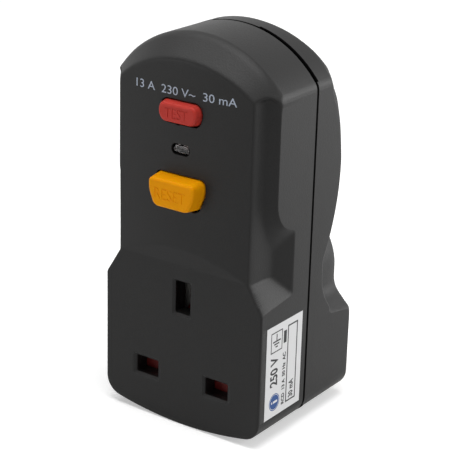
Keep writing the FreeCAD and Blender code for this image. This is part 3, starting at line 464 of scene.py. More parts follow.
PANEL_HALF_WIDTH = 20.0
PANEL_BULGE, PANEL_FOOT_Z, PANEL_SLOPE_RISE = 1.5, 31.0, 5.3
BAND_RADIUS, BAND_CENTRE_Z = 26.5, 58.1
BAND_GROWTH, BAND_RISE, BAND_RUN = 4.05, 1.65, 6.6
RECESS_TOP_Z, RECESS_TOP_DIP, RECESS_TOP_ARCH = 77.6, 0.3, 1.3
STEP_DEPTH, STEP_FALL = 2.9, 2.3
POCKET_DEPTH, POCKET_FALL = 6.5, 7.0
POCKET_TOP_Z, POCKET_TOP_RISE = 35.9, 7.1
SWEEP_TOP_Z, SWEEP_TOP_FALL = 54.0, 2.0
SHOULDER_Z, SHOULDER_FALL = 31.4, 7.4
COVER_BACK_DEPTH = 20.7
FRONT_EASE, FRONT_OFFSET = 0.4, 0.05


def arc_height(radius, across):
    """Height of a circle over its centre, at each distance across from it."""
    return np.sqrt(np.maximum(radius ** 2 - across ** 2, 0))


def corner_centre(radius, centre_z, corner, up):
    """Where the corners of one end of the outline are centred."""
    corner_x = HALF_WIDTH - corner
    return corner_x, centre_z + up * math.sqrt((radius - corner) ** 2 - corner_x ** 2)


def end_height(x, inset, radius, centre_z, corner, up):
    """Height of one end of the outline at each x, when it is drawn in by inset."""
    corner_x, corner_z = corner_centre(radius, centre_z, corner, up)
    meet = corner_x * (radius - inset) / (radius - corner)
    arc = arc_height(radius - inset, x)
    bend = arc_height(corner - inset, np.abs(x) - corner_x)
    return np.where(np.abs(x) < meet, centre_z + up * arc, corner_z + up * bend)


def rim_distance(x, z):
    """Distance from each point to the outline of the cover."""
    side = np.abs(x)
    distance = HALF_WIDTH - side
    for radius, centre_z, corner, up in (TOP, FOOT):
        corner_x, corner_z = corner_centre(radius, centre_z, corner, up)
        past = up * (z - corner_z)
        arc = np.minimum(distance, radius - np.hypot(x, z - centre_z))
        bend = corner - np.hypot(side - corner_x, z - corner_z)
        at_bend = (side - corner_x) * up * (corner_z - centre_z) > past * corner_x
        distance = np.where(up * (z - centre_z) > 0, arc, distance)
        distance = np.where((past > 0) & at_bend, bend, distance)
    return np.maximum(distance, 0)


def rim_drop(x, z, radius):
    """How far a rounded rim of this radius falls away at each point."""
    near = np.clip(rim_distance(x, z) - SKIN_INSET, 0, radius)
    return radius - arc_height(radius, radius - near)


def shoulder_drop(x, z, radius):
    """How far the back's upper rim falls away, its corners rounded like a ball."""
    across = 1 - (HALF_WIDTH - SKIN_INSET - np.abs(x)) / radius
    up = 1 - (TOP[0] - SKIN_INSET - np.hypot(x, z - TOP[1])) / radius
    reach = np.minimum(np.hypot(np.clip(across, 0, 1), np.clip(up, 0, 1)), 1)
    return radius * (1 - arc_height(1, reach))


def recess_depths(z, share):
    """Depth of the side recess at each height, for a share of the way to the outer edge."""
    step = STEP_DEPTH + STEP_FALL * share
    pocket = POCKET_DEPTH + POCKET_FALL * share
    pocket_top = POCKET_TOP_Z + POCKET_TOP_RISE * share
    sweep_top = SWEEP_TOP_Z - SWEEP_TOP_FALL * share
    run = pocket - step
    rise = sweep_top - pocket_top
    radius = (rise ** 2 + run ** 2) / (2 * run)
    sine = np.clip((sweep_top - z) / radius, 0, 1)
    sweep = step + radius * (1 - arc_height(1, sine))
    return np.where(z > sweep_top, step, np.where(z > pocket_top, sweep, pocket))


def front_depths(x, z, ease=0.0):
    """Depth of the cover's front at each point, with its cliffs moved out by ease."""
    side = np.abs(x)
    roundness = (PANEL_HALF_WIDTH ** 2 + PANEL_BULGE ** 2) / (2 * PANEL_BULGE)
    panel = roundness - PANEL_BULGE - arc_height(roundness, side)
    slope = -PANEL_BULGE * (z - PANEL_FOOT_Z) / PANEL_SLOPE_RISE
    face = np.where(side <= PANEL_HALF_WIDTH + ease, np.minimum(np.maximum(panel, slope), 0), 0)

    # The band's arcs grow and rise with its depth, so each point solves for its share of that.
    lift = z - BAND_CENTRE_Z
    a = BAND_RISE ** 2 - BAND_GROWTH ** 2
    b = -2 * lift * BAND_RISE - 2 * BAND_RADIUS * BAND_GROWTH
    c = x ** 2 + lift ** 2 - BAND_RADIUS ** 2
    share = (-b - np.sqrt(np.maximum(b ** 2 - 4 * a * c, 0))) / (2 * a)
    share = np.where(lift > 0, share, -5)
    depth = np.maximum(face, -PANEL_BULGE + BAND_RUN * share)

    share = (side - PANEL_HALF_WIDTH) / (HALF_WIDTH - PANEL_HALF_WIDTH)
    top = RECESS_TOP_Z - RECESS_TOP_DIP
    top = top + RECESS_TOP_ARCH * np.sin(math.pi * np.clip(share, 0, 1))
    shoulder = SHOULDER_Z - SHOULDER_FALL * share
    inside = (side > PANEL_HALF_WIDTH + ease) & (z > shoulder + ease) & (z < top - ease)
    return np.where(inside, np.maximum(depth, recess_depths(z, share)), depth)


PITCH = 0.1
FIELD_MARGIN, FIELD_FOOT_Z, FIELD_TOP_Z = 1.5, -15.0, 92.0


def shifted(field, axis, reach):
    """Copies of a field, each moved by one more step along an axis."""
    padded = np.pad(field, [(reach, reach) if a == axis else (0, 0) for a in (0, 1)], "edge")
    steps = np.arange(field.shape[axis])
    return [np.take(padded, steps + i, axis=axis) for i in range(2 * reach + 1)]


def blurred(field, radius):
    """Round the edges of a depth field."""
    reach = int(3 * radius / PITCH)
    weights = np.exp(-0.5 * (np.arange(-reach, reach + 1) * PITCH / radius) ** 2)
    weights /= weights.sum()
    for axis in (0, 1):
        copies = shifted(field, axis, reach)
        field = sum(weight * copy for weight, copy in zip(weights, copies))
    return field


def deepest_nearby(field, reach):
    """Largest depth within reach steps of each point."""
    for axis in (0, 1):
        field = np.max(shifted(field, axis, reach), axis=0)
    return field


def depth_fields(depths, ease, softness):
    """The lines of a fine grid over a skin, and its crisp and rounded depths there."""
    xs = np.arange(-HALF_WIDTH - FIELD_MARGIN, HALF_WIDTH + FIELD_MARGIN, PITCH)
    zs = np.arange(FIELD_FOOT_Z, FIELD_TOP_Z, PITCH)
    everywhere = np.meshgrid(xs, zs, indexing="ij")
    soft = blurred(depths(*everywhere, ease=ease + softness), softness)
    return xs, zs, depths(*everywhere), soft


def sample(field, xs, zs, x, z):
    """Read a depth field between its grid points."""
    i = np.clip((x - xs[0]) / (xs[1] - xs[0]), 0, len(xs) - 1.001)
    j = np.clip((z - zs[0]) / (zs[1] - zs[0]), 0, len(zs) - 1.001)
    i0, j0 = i.astype(int), j.astype(int)
    fi, fj = i - i0, j - j0
    return (
        field[i0, j0] * (1 - fi) * (1 - fj) + field[i0 + 1, j0] * fi * (1 - fj)
        + field[i0, j0 + 1] * (1 - fi) * fj + field[i0 + 1, j0 + 1] * fi * fj
    )


def spaced(stops):
    """Positions between stops, each stop given with the step size that follows it."""
    values = []
    for (start, step), (end, _) in zip(stops, stops[1:]):
        count = max(1, round((end - start) / step))
        values += [start + (end - start) * k / count for k in range(count)]
    return np.array(values + [stops[-1][0]])


def closed_block(name, x, z, depth, back):
    """Make a closed solid from a grid of front points and a flat back."""
    columns, rows = x.shape
    front = np.stack([x, depth - BODY_DEPTH, z], axis=-1).reshape(-1, 3)
    ring = [(i, 0) for i in range(columns - 1)]
    ring += [(columns - 1, j) for j in range(rows - 1)]
    ring += [(i, rows - 1) for i in range(columns - 1, 0, -1)]
    ring += [(0, j) for j in range(rows - 1, 0, -1)]
    edge = [i * rows + j for i, j in ring]
    points = [tuple(point) for point in front]
    faces = []
    for i in range(columns - 1):
        for j in range(rows - 1):
            a = i * rows + j
            faces.append((a, a + rows, a + rows + 1, a + 1))
    layers = [edge]
    for share in (0.5, 1.0):
        start = len(points)
        points += [(px, py + (back - BODY_DEPTH - py) * share, pz) for px, py, pz in front[edge]]
        layers.append(list(range(start, start + len(edge))))
    return solid(name, points, faces + joined_rings(layers) + [tuple(layers[-1])])


KNEE_LOW_Z, KNEE_HIGH_Z = 20.0, 75.6


def outline_grid(x_stops, z_stops, inset):
    """Spread columns and rows over the outline, rows fitted between its foot and its top."""
    half = spaced(x_stops)
    half = half * (HALF_WIDTH - inset) / HALF_WIDTH
    columns = np.concatenate([-half[:0:-1], half])
    rows = spaced(z_stops)
    foot = end_height(columns, inset, *FOOT)
    top = end_height(columns, inset, *TOP)
    x = np.repeat(columns[:, None], len(rows), axis=1)
    knots = [rows[0], KNEE_LOW_Z, KNEE_HIGH_Z, rows[-1]]
    z = np.array([
        np.interp(rows, knots, [low, KNEE_LOW_Z, KNEE_HIGH_Z, high])
        for low, high in zip(foot, top)
    ])
    return x, z


# Stops of the grids: where each stretch of columns or rows starts, and its step

FRONT_COLUMNS = (
    (0, 1.0), (16.0, 0.7), (18.6, 0.16), (21.4, 0.3), (23.4, 0.18), (24.4, 0.06), (HALF_WIDTH, 1),
)
FRONT_ROWS = (
    (-13.3, 0.08), (-12.9, 0.2), (-12, 0.7), (20.0, 0.4), (22.5, 0.15), (38.0, 0.45),
    (75.6, 0.2), (80.0, 0.4), (88.8, 0.22), (90.0, 0.08), (90.3, 1),
)
BACK_COLUMNS = (
    (0, 0.32), (17.4, 0.25), (20.8, 0.45), (23.0, 0.2), (24.3, 0.07), (HALF_WIDTH, 1),
)
BACK_ROWS = (
    (-13.3, 0.08), (-12.9, 0.2), (-12, 0.8), (9.0, 0.3), (21.0, 0.4), (30.0, 0.3),
    (38.5, 0.2), (42.5, 0.7), (75.6, 0.4), (86.0, 0.3), (89.4, 0.1), (90.3, 1),
)
HOLLOW_COLUMNS = ((0, 1.2), (17.0, 0.5), (HALF_WIDTH, 1))
FRONT_HOLLOW_ROWS = ((-13.3, 1.0), (20.0, 0.6), (38.0, 1.2), (75.6, 0.8), (90.3, 1))
BACK_HOLLOW_ROWS = (
    (-13.3, 1.0), (9.0, 0.5), (21.0, 1.2), (36.0, 0.6), (44.0, 1.2), (75.6, 0.8), (90.3, 1),
)
HOLLOW_INSET, HOLLOW_REACH = 1.2, 14
FRONT_WALL, BACK_WALL, BACK_LIP = 1.3, 1.4, 0.4
FRONT_RIM = ((24.0, 32.0, 74.0, 79.0, 83.0), (0.5, 0.2, 0.3, 1.6, 1.1))
BACK_RIM = (
    (10.0, 20.0, 34.0, 56.0, 66.0, 75.0, 79.0, 84.0, 88.0),
    (1.0, 0.7, 1.0, 1.4, 2.6, 4.6, 4.0, 2.3, 1.7),
)


def hollow_block(xs, zs, crisp, rows, side, wall, back):
    """The room inside a skin: a wall deeper in front, or a wall less deep at the back."""
    hollow = side * deepest_nearby(side * crisp, HOLLOW_REACH)
    x, z = outline_grid(HOLLOW_COLUMNS, rows, HOLLOW_INSET)
    return closed_block("inside", x, z, sample(hollow, xs, zs, x, z) + side * wall, back)


def soft_front(settings):
    """The cover's outside and its room as closed solids, its edges rounded like the moulding's."""
    softness = settings.edge_softness / MM
    xs, zs, crisp, soft = depth_fields(front_depths, FRONT_EASE, softness)
    x, z = outline_grid(FRONT_COLUMNS, FRONT_ROWS, SKIN_INSET)
    drop = rim_drop(x, z, np.interp(z, *FRONT_RIM))
    depth = sample(soft, xs, zs, x, z) + drop + FRONT_OFFSET
    skin = closed_block("front_cover", x, z, depth, COVER_BACK_DEPTH)
    inside = hollow_block(
        xs, zs, crisp, FRONT_HOLLOW_ROWS, 1, FRONT_WALL, COVER_BACK_DEPTH + 1)
    return skin, inside


def join_meshes(piece, other):
    """Add another closed mesh, with its finish, to a piece."""
    with editing(piece.data) as both:
        start = len(both.faces)
        both.from_mesh(other.data)
        both.faces.ensure_lookup_table()
        for face in both.faces[start:]:
            face.material_index = 1
    piece.data.materials.append(other.data.materials[0])
    bpy.data.objects.remove(other)
    return piece


def box_tool(name, x, depth, z):
    """A closed box between pairs of limits."""
    mesh = bpy.data.meshes.new(name)
    with editing(mesh) as work:
        bmesh.ops.create_cube(work, size=1.0)
    centre = [(pair[0] + pair[1]) / 2 for pair in (x, depth, z)]
    size = [pair[1] - pair[0] for pair in (x, depth, z)]
    mesh.transform(Matrix.Diagonal((*mm(*size), 1)))
    mesh.transform(Matrix.Translation(mm(centre[0], centre[1] - BODY_DEPTH, centre[2])))
    return link_mesh(name, mesh)


def combine(piece, tool, operation):
    """Join a closed tool to a piece, or subtract it."""
    modifier = piece.modifiers.new("Combine", "BOOLEAN")
    modifier.operation = operation
    modifier.solver = "MANIFOLD"
    modifier.object = tool
    bake_modifiers(piece)
    bpy.data.objects.remove(tool)
    return piece


def carve(skin, hollow, node, openings):
    """Open a skin and hollow it out, down to the walls of its fixed node."""
    for name, limits in openings.items():
        combine(hollow, box_tool(name, *limits), "UNION")
    combine(hollow, link_mesh("shell", merged_mesh(node, "shell")), "DIFFERENCE")
    return combine(skin, hollow, "DIFFERENCE")


# Boxes over each opening: limits of x, depth and z

FRONT_OPENINGS = {
    "live_hole": ((5.5, 16.7), (-2.0, 4.5), (-4.4, 4.4)),
    "neutral_hole": ((-16.7, -5.5), (-2.0, 4.5), (-4.4, 4.4)),
    "earth_hole": ((-4.4, 4.4), (-2.0, 4.5), (15.8, 28.6)),
    "test_hole": ((-8.4, 8.4), (-3.0, 2.6), (66.6, 76.4)),
    "reset_hole": ((-9.4, 9.4), (-3.0, 2.6), (45.2, 57.4)),
    "window_hole": ((-4.4, 4.4), (-3.0, 2.6), (59.2, 65.0)),
    "label_bed": ((23.2, 26.0), (2.0, 19.5), (-6.6, 20.2)),
}
BACK_OPENINGS = {
    "live_slot": ((5.8, 16.4), (38.0, 44.5), (-4.2, 4.2)),
    "neutral_slot": ((-16.4, -5.8), (38.0, 44.5), (-4.2, 4.2)),
    "earth_slot": ((-4.2, 4.2), (38.0, 44.5), (16.2, 28.4)),
    "left_low_screw": ((-23.43, -15.17), (26.0, 45.01), (3.86, 12.13)),
    "right_low_screw": ((15.17, 23.43), (26.02, 45.02), (3.87, 12.14)),
    "left_high_screw": ((-22.73, -14.47), (26.04, 45.03), (61.86, 70.13)),
    "right_high_screw": ((14.47, 22.73), (26.06, 45.04), (61.87, 70.14)),
}


# Skin of the back cover

BULGE_DEPTH, BULGE_Z = 34.8, 56.0
BULGE_LOW_RADIUS, BULGE_HIGH_RADIUS = 50.8, 86.0
WAIST_DEPTH, WAIST_FULLEST, WAIST_COVE_Z, WAIST_COVE = 28.0, 32.5, 25.5, 0.05
PLUG_HALF_WIDTH, PLUG_TOP_Z, PLUG_CROWN = 19.1, 39.9, 17.0
PLUG_WAIST_Z, PLUG_WAIST_RADIUS, PLUG_SHOULDER_RADIUS = 17.9, 5.0, 3.0
BACK_FRONT_DEPTH = 21.6
BACK_EASE, BACK_OFFSET = 0.35, 0.06
TONGUE_LIMITS = ((-23.9, 23.9), (15.0, BACK_FRONT_DEPTH + 0.6), (-12.6, 89.6))


def plug_block_half_width(z):
    """Half width of the plug block at each height, from its skirt to its round top."""
    bend = math.tan(math.radians(22.5))
    lean = math.sin(math.radians(45))
    waist_top = PLUG_WAIST_Z + PLUG_WAIST_RADIUS * bend
    hollow_x = PLUG_HALF_WIDTH + PLUG_WAIST_RADIUS
    hollow = hollow_x - arc_height(PLUG_WAIST_RADIUS, waist_top - z)
    slant = PLUG_HALF_WIDTH + PLUG_WAIST_Z - z
    skirt_z = PLUG_WAIST_Z - (HALF_WIDTH - PLUG_HALF_WIDTH)
    shoulder_low = skirt_z - PLUG_SHOULDER_RADIUS * bend
    shoulder_x = HALF_WIDTH - PLUG_SHOULDER_RADIUS
    shoulder = shoulder_x + arc_height(PLUG_SHOULDER_RADIUS, z - shoulder_low)
    crown_z = PLUG_TOP_Z - PLUG_CROWN
    crown = PLUG_HALF_WIDTH - PLUG_CROWN + arc_height(PLUG_CROWN, z - crown_z)
    half = np.where(z > crown_z, crown, PLUG_HALF_WIDTH)
    half = np.where(z < waist_top, hollow, half)
    half = np.where(z < waist_top - PLUG_WAIST_RADIUS * lean, slant, half)
    half = np.where(z < shoulder_low + PLUG_SHOULDER_RADIUS * lean, shoulder, half)
    half = np.where(z < shoulder_low, HALF_WIDTH + 5, half)
    return np.where(z > PLUG_TOP_Z, -1, half)


def back_depths(x, z, ease=0.0):
    """Depth of the back at each point, with the plug block's cliffs moved out by ease."""
    lift = z - BULGE_Z
    radius = np.where(lift > 0, BULGE_HIGH_RADIUS, BULGE_LOW_RADIUS)
    bulge = BULGE_DEPTH - radius + arc_height(radius, lift)
    waist = WAIST_DEPTH + WAIST_COVE * np.maximum(WAIST_COVE_Z - z, 0) ** 2
    below = np.maximum(bulge, np.minimum(waist, WAIST_FULLEST))
    block = np.abs(x) < plug_block_half_width(z) + ease
    return np.where(block, BODY_DEPTH, np.where(lift > 0, bulge, below))


def soft_back(settings):
    """The back's outside and its room as closed solids, its edges rounded like the moulding's."""
    softness = settings.back_softness / MM
    xs, zs, crisp, soft = depth_fields(back_depths, BACK_EASE, softness)
    x, z = outline_grid(BACK_COLUMNS, BACK_ROWS, SKIN_INSET)
    rim = np.interp(z, *BACK_RIM)
    drop = np.where(z > BULGE_Z, shoulder_drop(x, z, rim), rim_drop(x, z, rim))
    depth = sample(soft, xs, zs, x, z) - drop
    depth = np.maximum(depth, BACK_FRONT_DEPTH + BACK_LIP) - BACK_OFFSET
    skin = closed_block("back_cover", x, z, depth, BACK_FRONT_DEPTH)
    inside = hollow_block(
        xs, zs, crisp, BACK_HOLLOW_ROWS, -1, BACK_WALL, BACK_FRONT_DEPTH - 1)
    return skin, inside


class ADAPTER_OT_front_cover(bpy.types.Operator):
    """Make the front cover with its sockets, bulged panel and stepped sides"""

    bl_idname = "adapter.front_cover"
    bl_label = "Front cover"

    def execute(self, context):
        settings = context.scene.adapter_housing
        piece = carve(*soft_front(settings), "front_shell", FRONT_OPENINGS)
        smooth(piece.data, settings.sharp_angle)
        weigh_normals(piece)
        wear(black_plastic(settings), piece)
        dress(piece, "case", "black_shell", "front_shell")
        return {"FINISHED"}


class ADAPTER_OT_back_cover(bpy.types.Operator):
    """Make the back cover with its bulge and plug block"""

    bl_idname = "adapter.back_cover"
    bl_label = "Back cover"

    def execute(self, context):
        settings = context.scene.adapter_housing
        piece = carve(*soft_back(settings), "rear_shell", BACK_OPENINGS)
        wear(black_plastic(settings), piece)
        # The tongue behind the parting gap gets a near-black finish with no gloss: painted shade
        # that makes the gap read dark.
        tongue = link_mesh("tongue", merged_mesh("rear_shell", "tongue"))
        combine(tongue, box_tool("front_part", *TONGUE_LIMITS), "INTERSECT")
        wear(finish("Painted joint shade", (0.002, 0.002, 0.002), 0.8, specular=0.0), tongue)
        join_meshes(piece, tongue)
        smooth(piece.data, settings.sharp_angle)
        weigh_normals(piece)
        dress(piece, "case", "black_shell", "rear_shell")
        return {"FINISHED"}


def rounded_outline(corners, steps):
    """Points round a closed outline of (x, z, radius) corners."""
    points = []
    count = len(corners)
    for index in range(count):
        here = Vector(corners[index][:2])
        before = (Vector(corners[index - 1][:2]) - here).normalized()
        after = (Vector(corners[(index + 1) % count][:2]) - here).normalized()
        radius = corners[index][2]
        half = before.angle(after) / 2
        reach = radius / math.tan(half)
        centre = here + (before + after).normalized() * (radius / math.sin(half))
        start = here + before * reach - centre
        end = here + after * reach - centre
        turn = start.angle_signed(end)
        for step in range(steps + 1):
            spin = Matrix.Rotation(-turn * step / steps, 2)
            points.append(centre + spin @ start)
    return points


def drawn_in(points, inset):
    """Move the points of an outline towards its inside."""
    following = points[1:] + points[:1]
    area = sum(a.x * b.y - b.x * a.y for a, b in zip(points, following))
    step = inset if area > 0 else -inset
    moved = []
    for before, here, after in zip(points[-1:] + points[:-1], points, following):
        along = (after - before).normalized()
        moved.append(here + Vector((-along.y, along.x)) * step)
    return moved


def layered_solid(name, layers):
    """A closed solid through equal outlines, each given with its depth."""
    points = [
        (point.x, depth - BODY_DEPTH, point.y) for outline, depth in layers for point in outline
    ]
    count = len(layers[0][0])
    rings = [range(start, start + count) for start in range(0, len(points), count)]
    return solid(name, points, [tuple(rings[0]), tuple(rings[-1])] + joined_rings(rings))


def sunk_word(text, cap_height, width, place, settings):
    """The letters of a word as a closed tool that reaches into a button's front."""
    word = words_mesh(text, cap_height, width, settings.letter_depth, settings.stroke_growth)
    word.transform(facing_front(*place))
    return link_mesh("word", clean_mesh(word))


ROD_POINTS, RING_POINTS = 36, 48


def circle_points(centre, radius, count):
    """Points round a circle in a plane."""
    turns = [2 * math.pi * step / count for step in range(count)]
    return [Vector(centre) + radius * Vector((math.cos(t), math.sin(t))) for t in turns]


def round_rod(name, radius, middle_z, start, end):
    """A rod along the depth, centred on the middle plane."""
    circle = circle_points((0, middle_z), radius, ROD_POINTS)
    return layered_solid(name, [(circle, start), (circle, end)])


CAP_START_DEPTH, FLANGE_DEPTH, FLANGE_BACK_DEPTH = -0.6, 1.7, 2.7
FLANGE_MARGIN, CAP_SHRINK, CAP_RIM = 1.1, 0.02, 0.75
CAP_CORNER_STEPS, CAP_RIM_STEPS = 12, 6
WORD_X = -0.1
BUTTON_SHARP_ANGLE = math.radians(35)


def push_button(name, corners, settings, proud, draft, stem, word):
    """A proud cap with a soft rim and sunk word, with its flange and stem behind the panel."""
    base = rounded_outline(corners, CAP_CORNER_STEPS)
    layers = []
    for step in range(CAP_RIM_STEPS + 1):
        angle = math.radians(90 * step / CAP_RIM_STEPS)
        inset = draft + CAP_RIM * (1 - math.sin(angle))
        layers.append((drawn_in(base, inset), proud + CAP_RIM * (1 - math.cos(angle))))
    straight = drawn_in(base, CAP_SHRINK)
    layers += [(straight, CAP_START_DEPTH), (straight, FLANGE_DEPTH)]
    piece = layered_solid(name, layers)
    heights = [corner[1] for corner in corners]
    middle = (max(heights) + min(heights)) / 2
    combine(piece, sunk_word(*word, (WORD_X, proud, middle), settings), "DIFFERENCE")
    wide = drawn_in(base, -FLANGE_MARGIN)
    flange = layered_solid("flange", [(wide, FLANGE_DEPTH - 0.05), (wide, FLANGE_BACK_DEPTH)])
    combine(piece, flange, "UNION")
    radius, middle_z, end = stem
    combine(piece, round_rod("shaft", radius, middle_z, FLANGE_BACK_DEPTH - 0.1, end), "UNION")
    smooth(piece.data, BUTTON_SHARP_ANGLE)
    return weigh_normals(piece)


TEST_OUTLINE = (
    (-5.4, 68.6, 2.5), (5.4, 68.6, 2.5), (6.3, 71.8, 4.0),
    (5.6, 74.4, 2.0), (-5.6, 74.4, 2.0), (-6.3, 71.8, 4.0),
)
RESET_OUTLINE = (
    (-5.6, 47.1, 2.6), (5.6, 47.1, 2.6), (7.6, 51.9, 8.0),
    (7.3, 55.5, 1.7), (-7.3, 55.5, 1.7), (-7.6, 51.9, 8.0),
)


class ADAPTER_OT_buttons(bpy.types.Operator):
    """Make the red and yellow buttons with their sunk words"""

    bl_idname = "adapter.buttons"
    bl_label = "Buttons"

    def execute(self, context):
        settings = context.scene.adapter_buttons
        test_end = box_sides(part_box("test_button"))[1].y
        reset_end = box_sides(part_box("reset_button"))[1].y
        test = push_button("test_key", TEST_OUTLINE, settings, proud=-3.3, draft=0.45,
                           stem=(1.6, 71.5, test_end), word=("TEST", 2.6 * MM, 6.8 * MM))
        wear(finish("Red button", settings.test_colour, 0.42, grain=0.0005, height=0.000004,
                    tone=0.10, specular=0.12, subsurface=0.2), test)
        dress(test, "test_button", "red_button", "test_button")
        reset = push_button("reset_key", RESET_OUTLINE, settings, proud=-5.4, draft=0.55,
                            stem=(2.0, 51.3, reset_end), word=("RESET", 2.9 * MM, 9.3 * MM))
        wear(finish("Yellow button", settings.reset_colour, 0.40, grain=0.0005,
                    height=0.000004, tone=0.08, specular=0.05, subsurface=0.2), reset)
        dress(reset, "reset_button", "yellow_button", "reset_button")
        return {"FINISHED"}


WINDOW_CORNERS = ((-2.35, -1.0), (2.35, -1.0), (2.35, 1.0), (-2.35, 1.0))
WINDOW_CORNER_RADIUS = 0.98
WINDOW_RIM_WIDTH, WINDOW_RIM_DEPTH = 1.0, 0.8


class ADAPTER_OT_indicator(bpy.types.Operator):
    """Make the clear window in its dark gap, and finish the lamp behind it"""

    bl_idname = "adapter.indicator"
    bl_label = "Indicator"

    def execute(self, context):
        low, high = box_sides(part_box("indicator_lens"))
        front, back, middle = low.y, high.y, (low.z + high.z) / 2
        corners = [(x, middle + z, WINDOW_CORNER_RADIUS) for x, z in WINDOW_CORNERS]
        base = rounded_outline(corners, 8)
        window = layered_solid("window", [
            (drawn_in(base, 0.30), front + 0.1), (drawn_in(base, 0.08), front + 0.2),
            (base, front + 0.45), (base, back - 0.75),
        ])
        wide = drawn_in(base, -WINDOW_RIM_WIDTH)
        rim = layered_solid("rim", [(wide, back - WINDOW_RIM_DEPTH), (wide, back)])
        combine(window, rim, "UNION")
        smooth(window.data, BUTTON_SHARP_ANGLE)
        wear(finish("Clear window", (0.84, 0.72, 0.70), 0.10, grain=0.0011, height=0.00022,
                    tone=0.1, rough_change=0.3, transmission=1.0, ior=1.49), window)
        dress(window, "case", "clear_lens", "indicator_lens")
        wear(finish("Lamp glass", (0.42, 0.10, 0.07), 0.15, grain=0.0008, height=0.00002,
                    tone=0.5, specular=0.7), "indicator_lamp")
        return {"FINISHED"}


class ADAPTER_OT_shutter(bpy.types.Operator):
    """Finish the red shutter and the guide that it slides in"""

    bl_idname = "adapter.shutter"
    bl_label = "Shutter"

    def execute(self, context):
        wear(finish("Red shutter plastic", (0.16, 0.012, 0.010), 0.38, tone=0.12), "shutter")
        wear(black_plastic(context.scene.adapter_housing), "shutter_guide")
        return {"FINISHED"}


PANEL_INK_GAP = 0.03
RATING_SIZE, RATING_PLACE = (2.1 * MM, 30.2 * MM), (0.7, 76.6)


def panel_line(text, cap_height, width, x, z):
    """A printed line laid on the bulged panel."""
    line = words_mesh(text, cap_height, width)
    line.transform(facing_front(x, 0, z))
    for vertex in line.vertices:
        depth = front_depths(np.array([vertex.co.x / MM]), np.array([vertex.co.z / MM]))[0]
        vertex.co.y = (depth + PANEL_INK_GAP - BODY_DEPTH) * MM
    return line


# Flat prints of the side label are given from its near lower corner: depth, then height.


def flat_patch(points, faces):
    """A flat mesh that faces sideways, from (depth, height) points in millimetres."""
    mesh = bpy.data.meshes.new("patch")
    mesh.from_pydata([mm(0, *point) for point in points], [], faces)
    return mesh


def bar(depth_from, depth_to, z_from, z_to):
    """A printed bar."""
    corners = [(depth_from, z_from), (depth_to, z_from), (depth_to, z_to), (depth_from, z_to)]
    return flat_patch(corners, [(0, 1, 2, 3)])


def ruled_box(depth_from, depth_to, z_from, z_to, rule):
    """The four rules of a printed box."""
    return [
        bar(depth_from, depth_to, z_from, z_from + rule),
        bar(depth_from, depth_to, z_to - rule, z_to),
        bar(depth_from, depth_from + rule, z_from + rule, z_to - rule),
        bar(depth_to - rule, depth_to, z_from + rule, z_to - rule),
    ]


def earth_sign(depth, z):
    """The plain earth sign: a stem over three bars that grow shorter."""
    parts = [bar(depth - 0.2, depth + 0.2, z, z + 2.0)]
    for step, half in enumerate((1.75, 1.15, 0.5)):
        low = z - 0.15 - 0.75 * step
        parts.append(bar(depth - half, depth + half, low, low + 0.4))
    return parts


def ring_patch(depth, z, inner, outer):
    """A flat printed ring."""
    points = []
    for radius in (inner, outer):
        points += circle_points((depth, z), radius, RING_POINTS)
    rings = [range(RING_POINTS), range(RING_POINTS, 2 * RING_POINTS)]
    return flat_patch(points, joined_rings(rings))


READING_UPWARDS = Matrix(((0, 0, 1, 0), (0, -1, 0, 0), (1, 0, 0, 0), (0, 0, 0, 1)))


def side_words(text, cap_height, width, depth, z, growth=0.0):
    """Words that read upwards, centred on a point, their sizes in millimetres."""
    words = words_mesh(text, cap_height * MM, width * MM, growth=growth * MM)
    words.transform(Matrix.Translation(mm(0, depth, z)) @ READING_UPWARDS)
    return words


# Text, height of its capitals, width, depth and height of its centre, growth of its strokes

LABEL_WORDS = (
    ("250 V", 3.1, 8.2, 3.7, 12.6, 0.13),
    ("RCD  13 A  50 Hz  AC", 1.2, 14.6, 8.1, 9.3, 0.075),
    ("30 mA", 1.9, 5.0, 11.7, 5.2, 0.09),
)
LABEL_BAR = (7.6, 8.9, 19.2, 22.6)
LABEL_BOXES = ((9.4, 13.9, 1.9, 23.6, 0.42), (1.9, 7.0, 18.0, 23.6, 0.30))
EARTH_SIGN_PLACE, DISC_PLACE = (4.45, 20.9), (4.3, 4.0)
DISC_SIGN, DISC_RINGS = ("i", 2.7, 0.75), ((0.0, 1.98), (2.12, 2.35))
PAPER_GAP, PRINT_GAP, WHITE_GAP = 0.016, 0.009, 0.003


def one_mesh(name, meshes, direction, place=(0, 0, 0)):
    """Gather flat meshes in one object at a place, all facing the same way."""
    whole = bpy.data.meshes.new(name)
    with editing(whole) as work:
        for mesh in meshes:
            work.from_mesh(mesh)
        work.normal_update()
        turned = [face for face in work.faces if face.normal.dot(Vector(direction)) < 0]
        bmesh.ops.reverse_faces(work, faces=turned)
    whole.transform(Matrix.Translation(place))
    return link_mesh(name, whole)


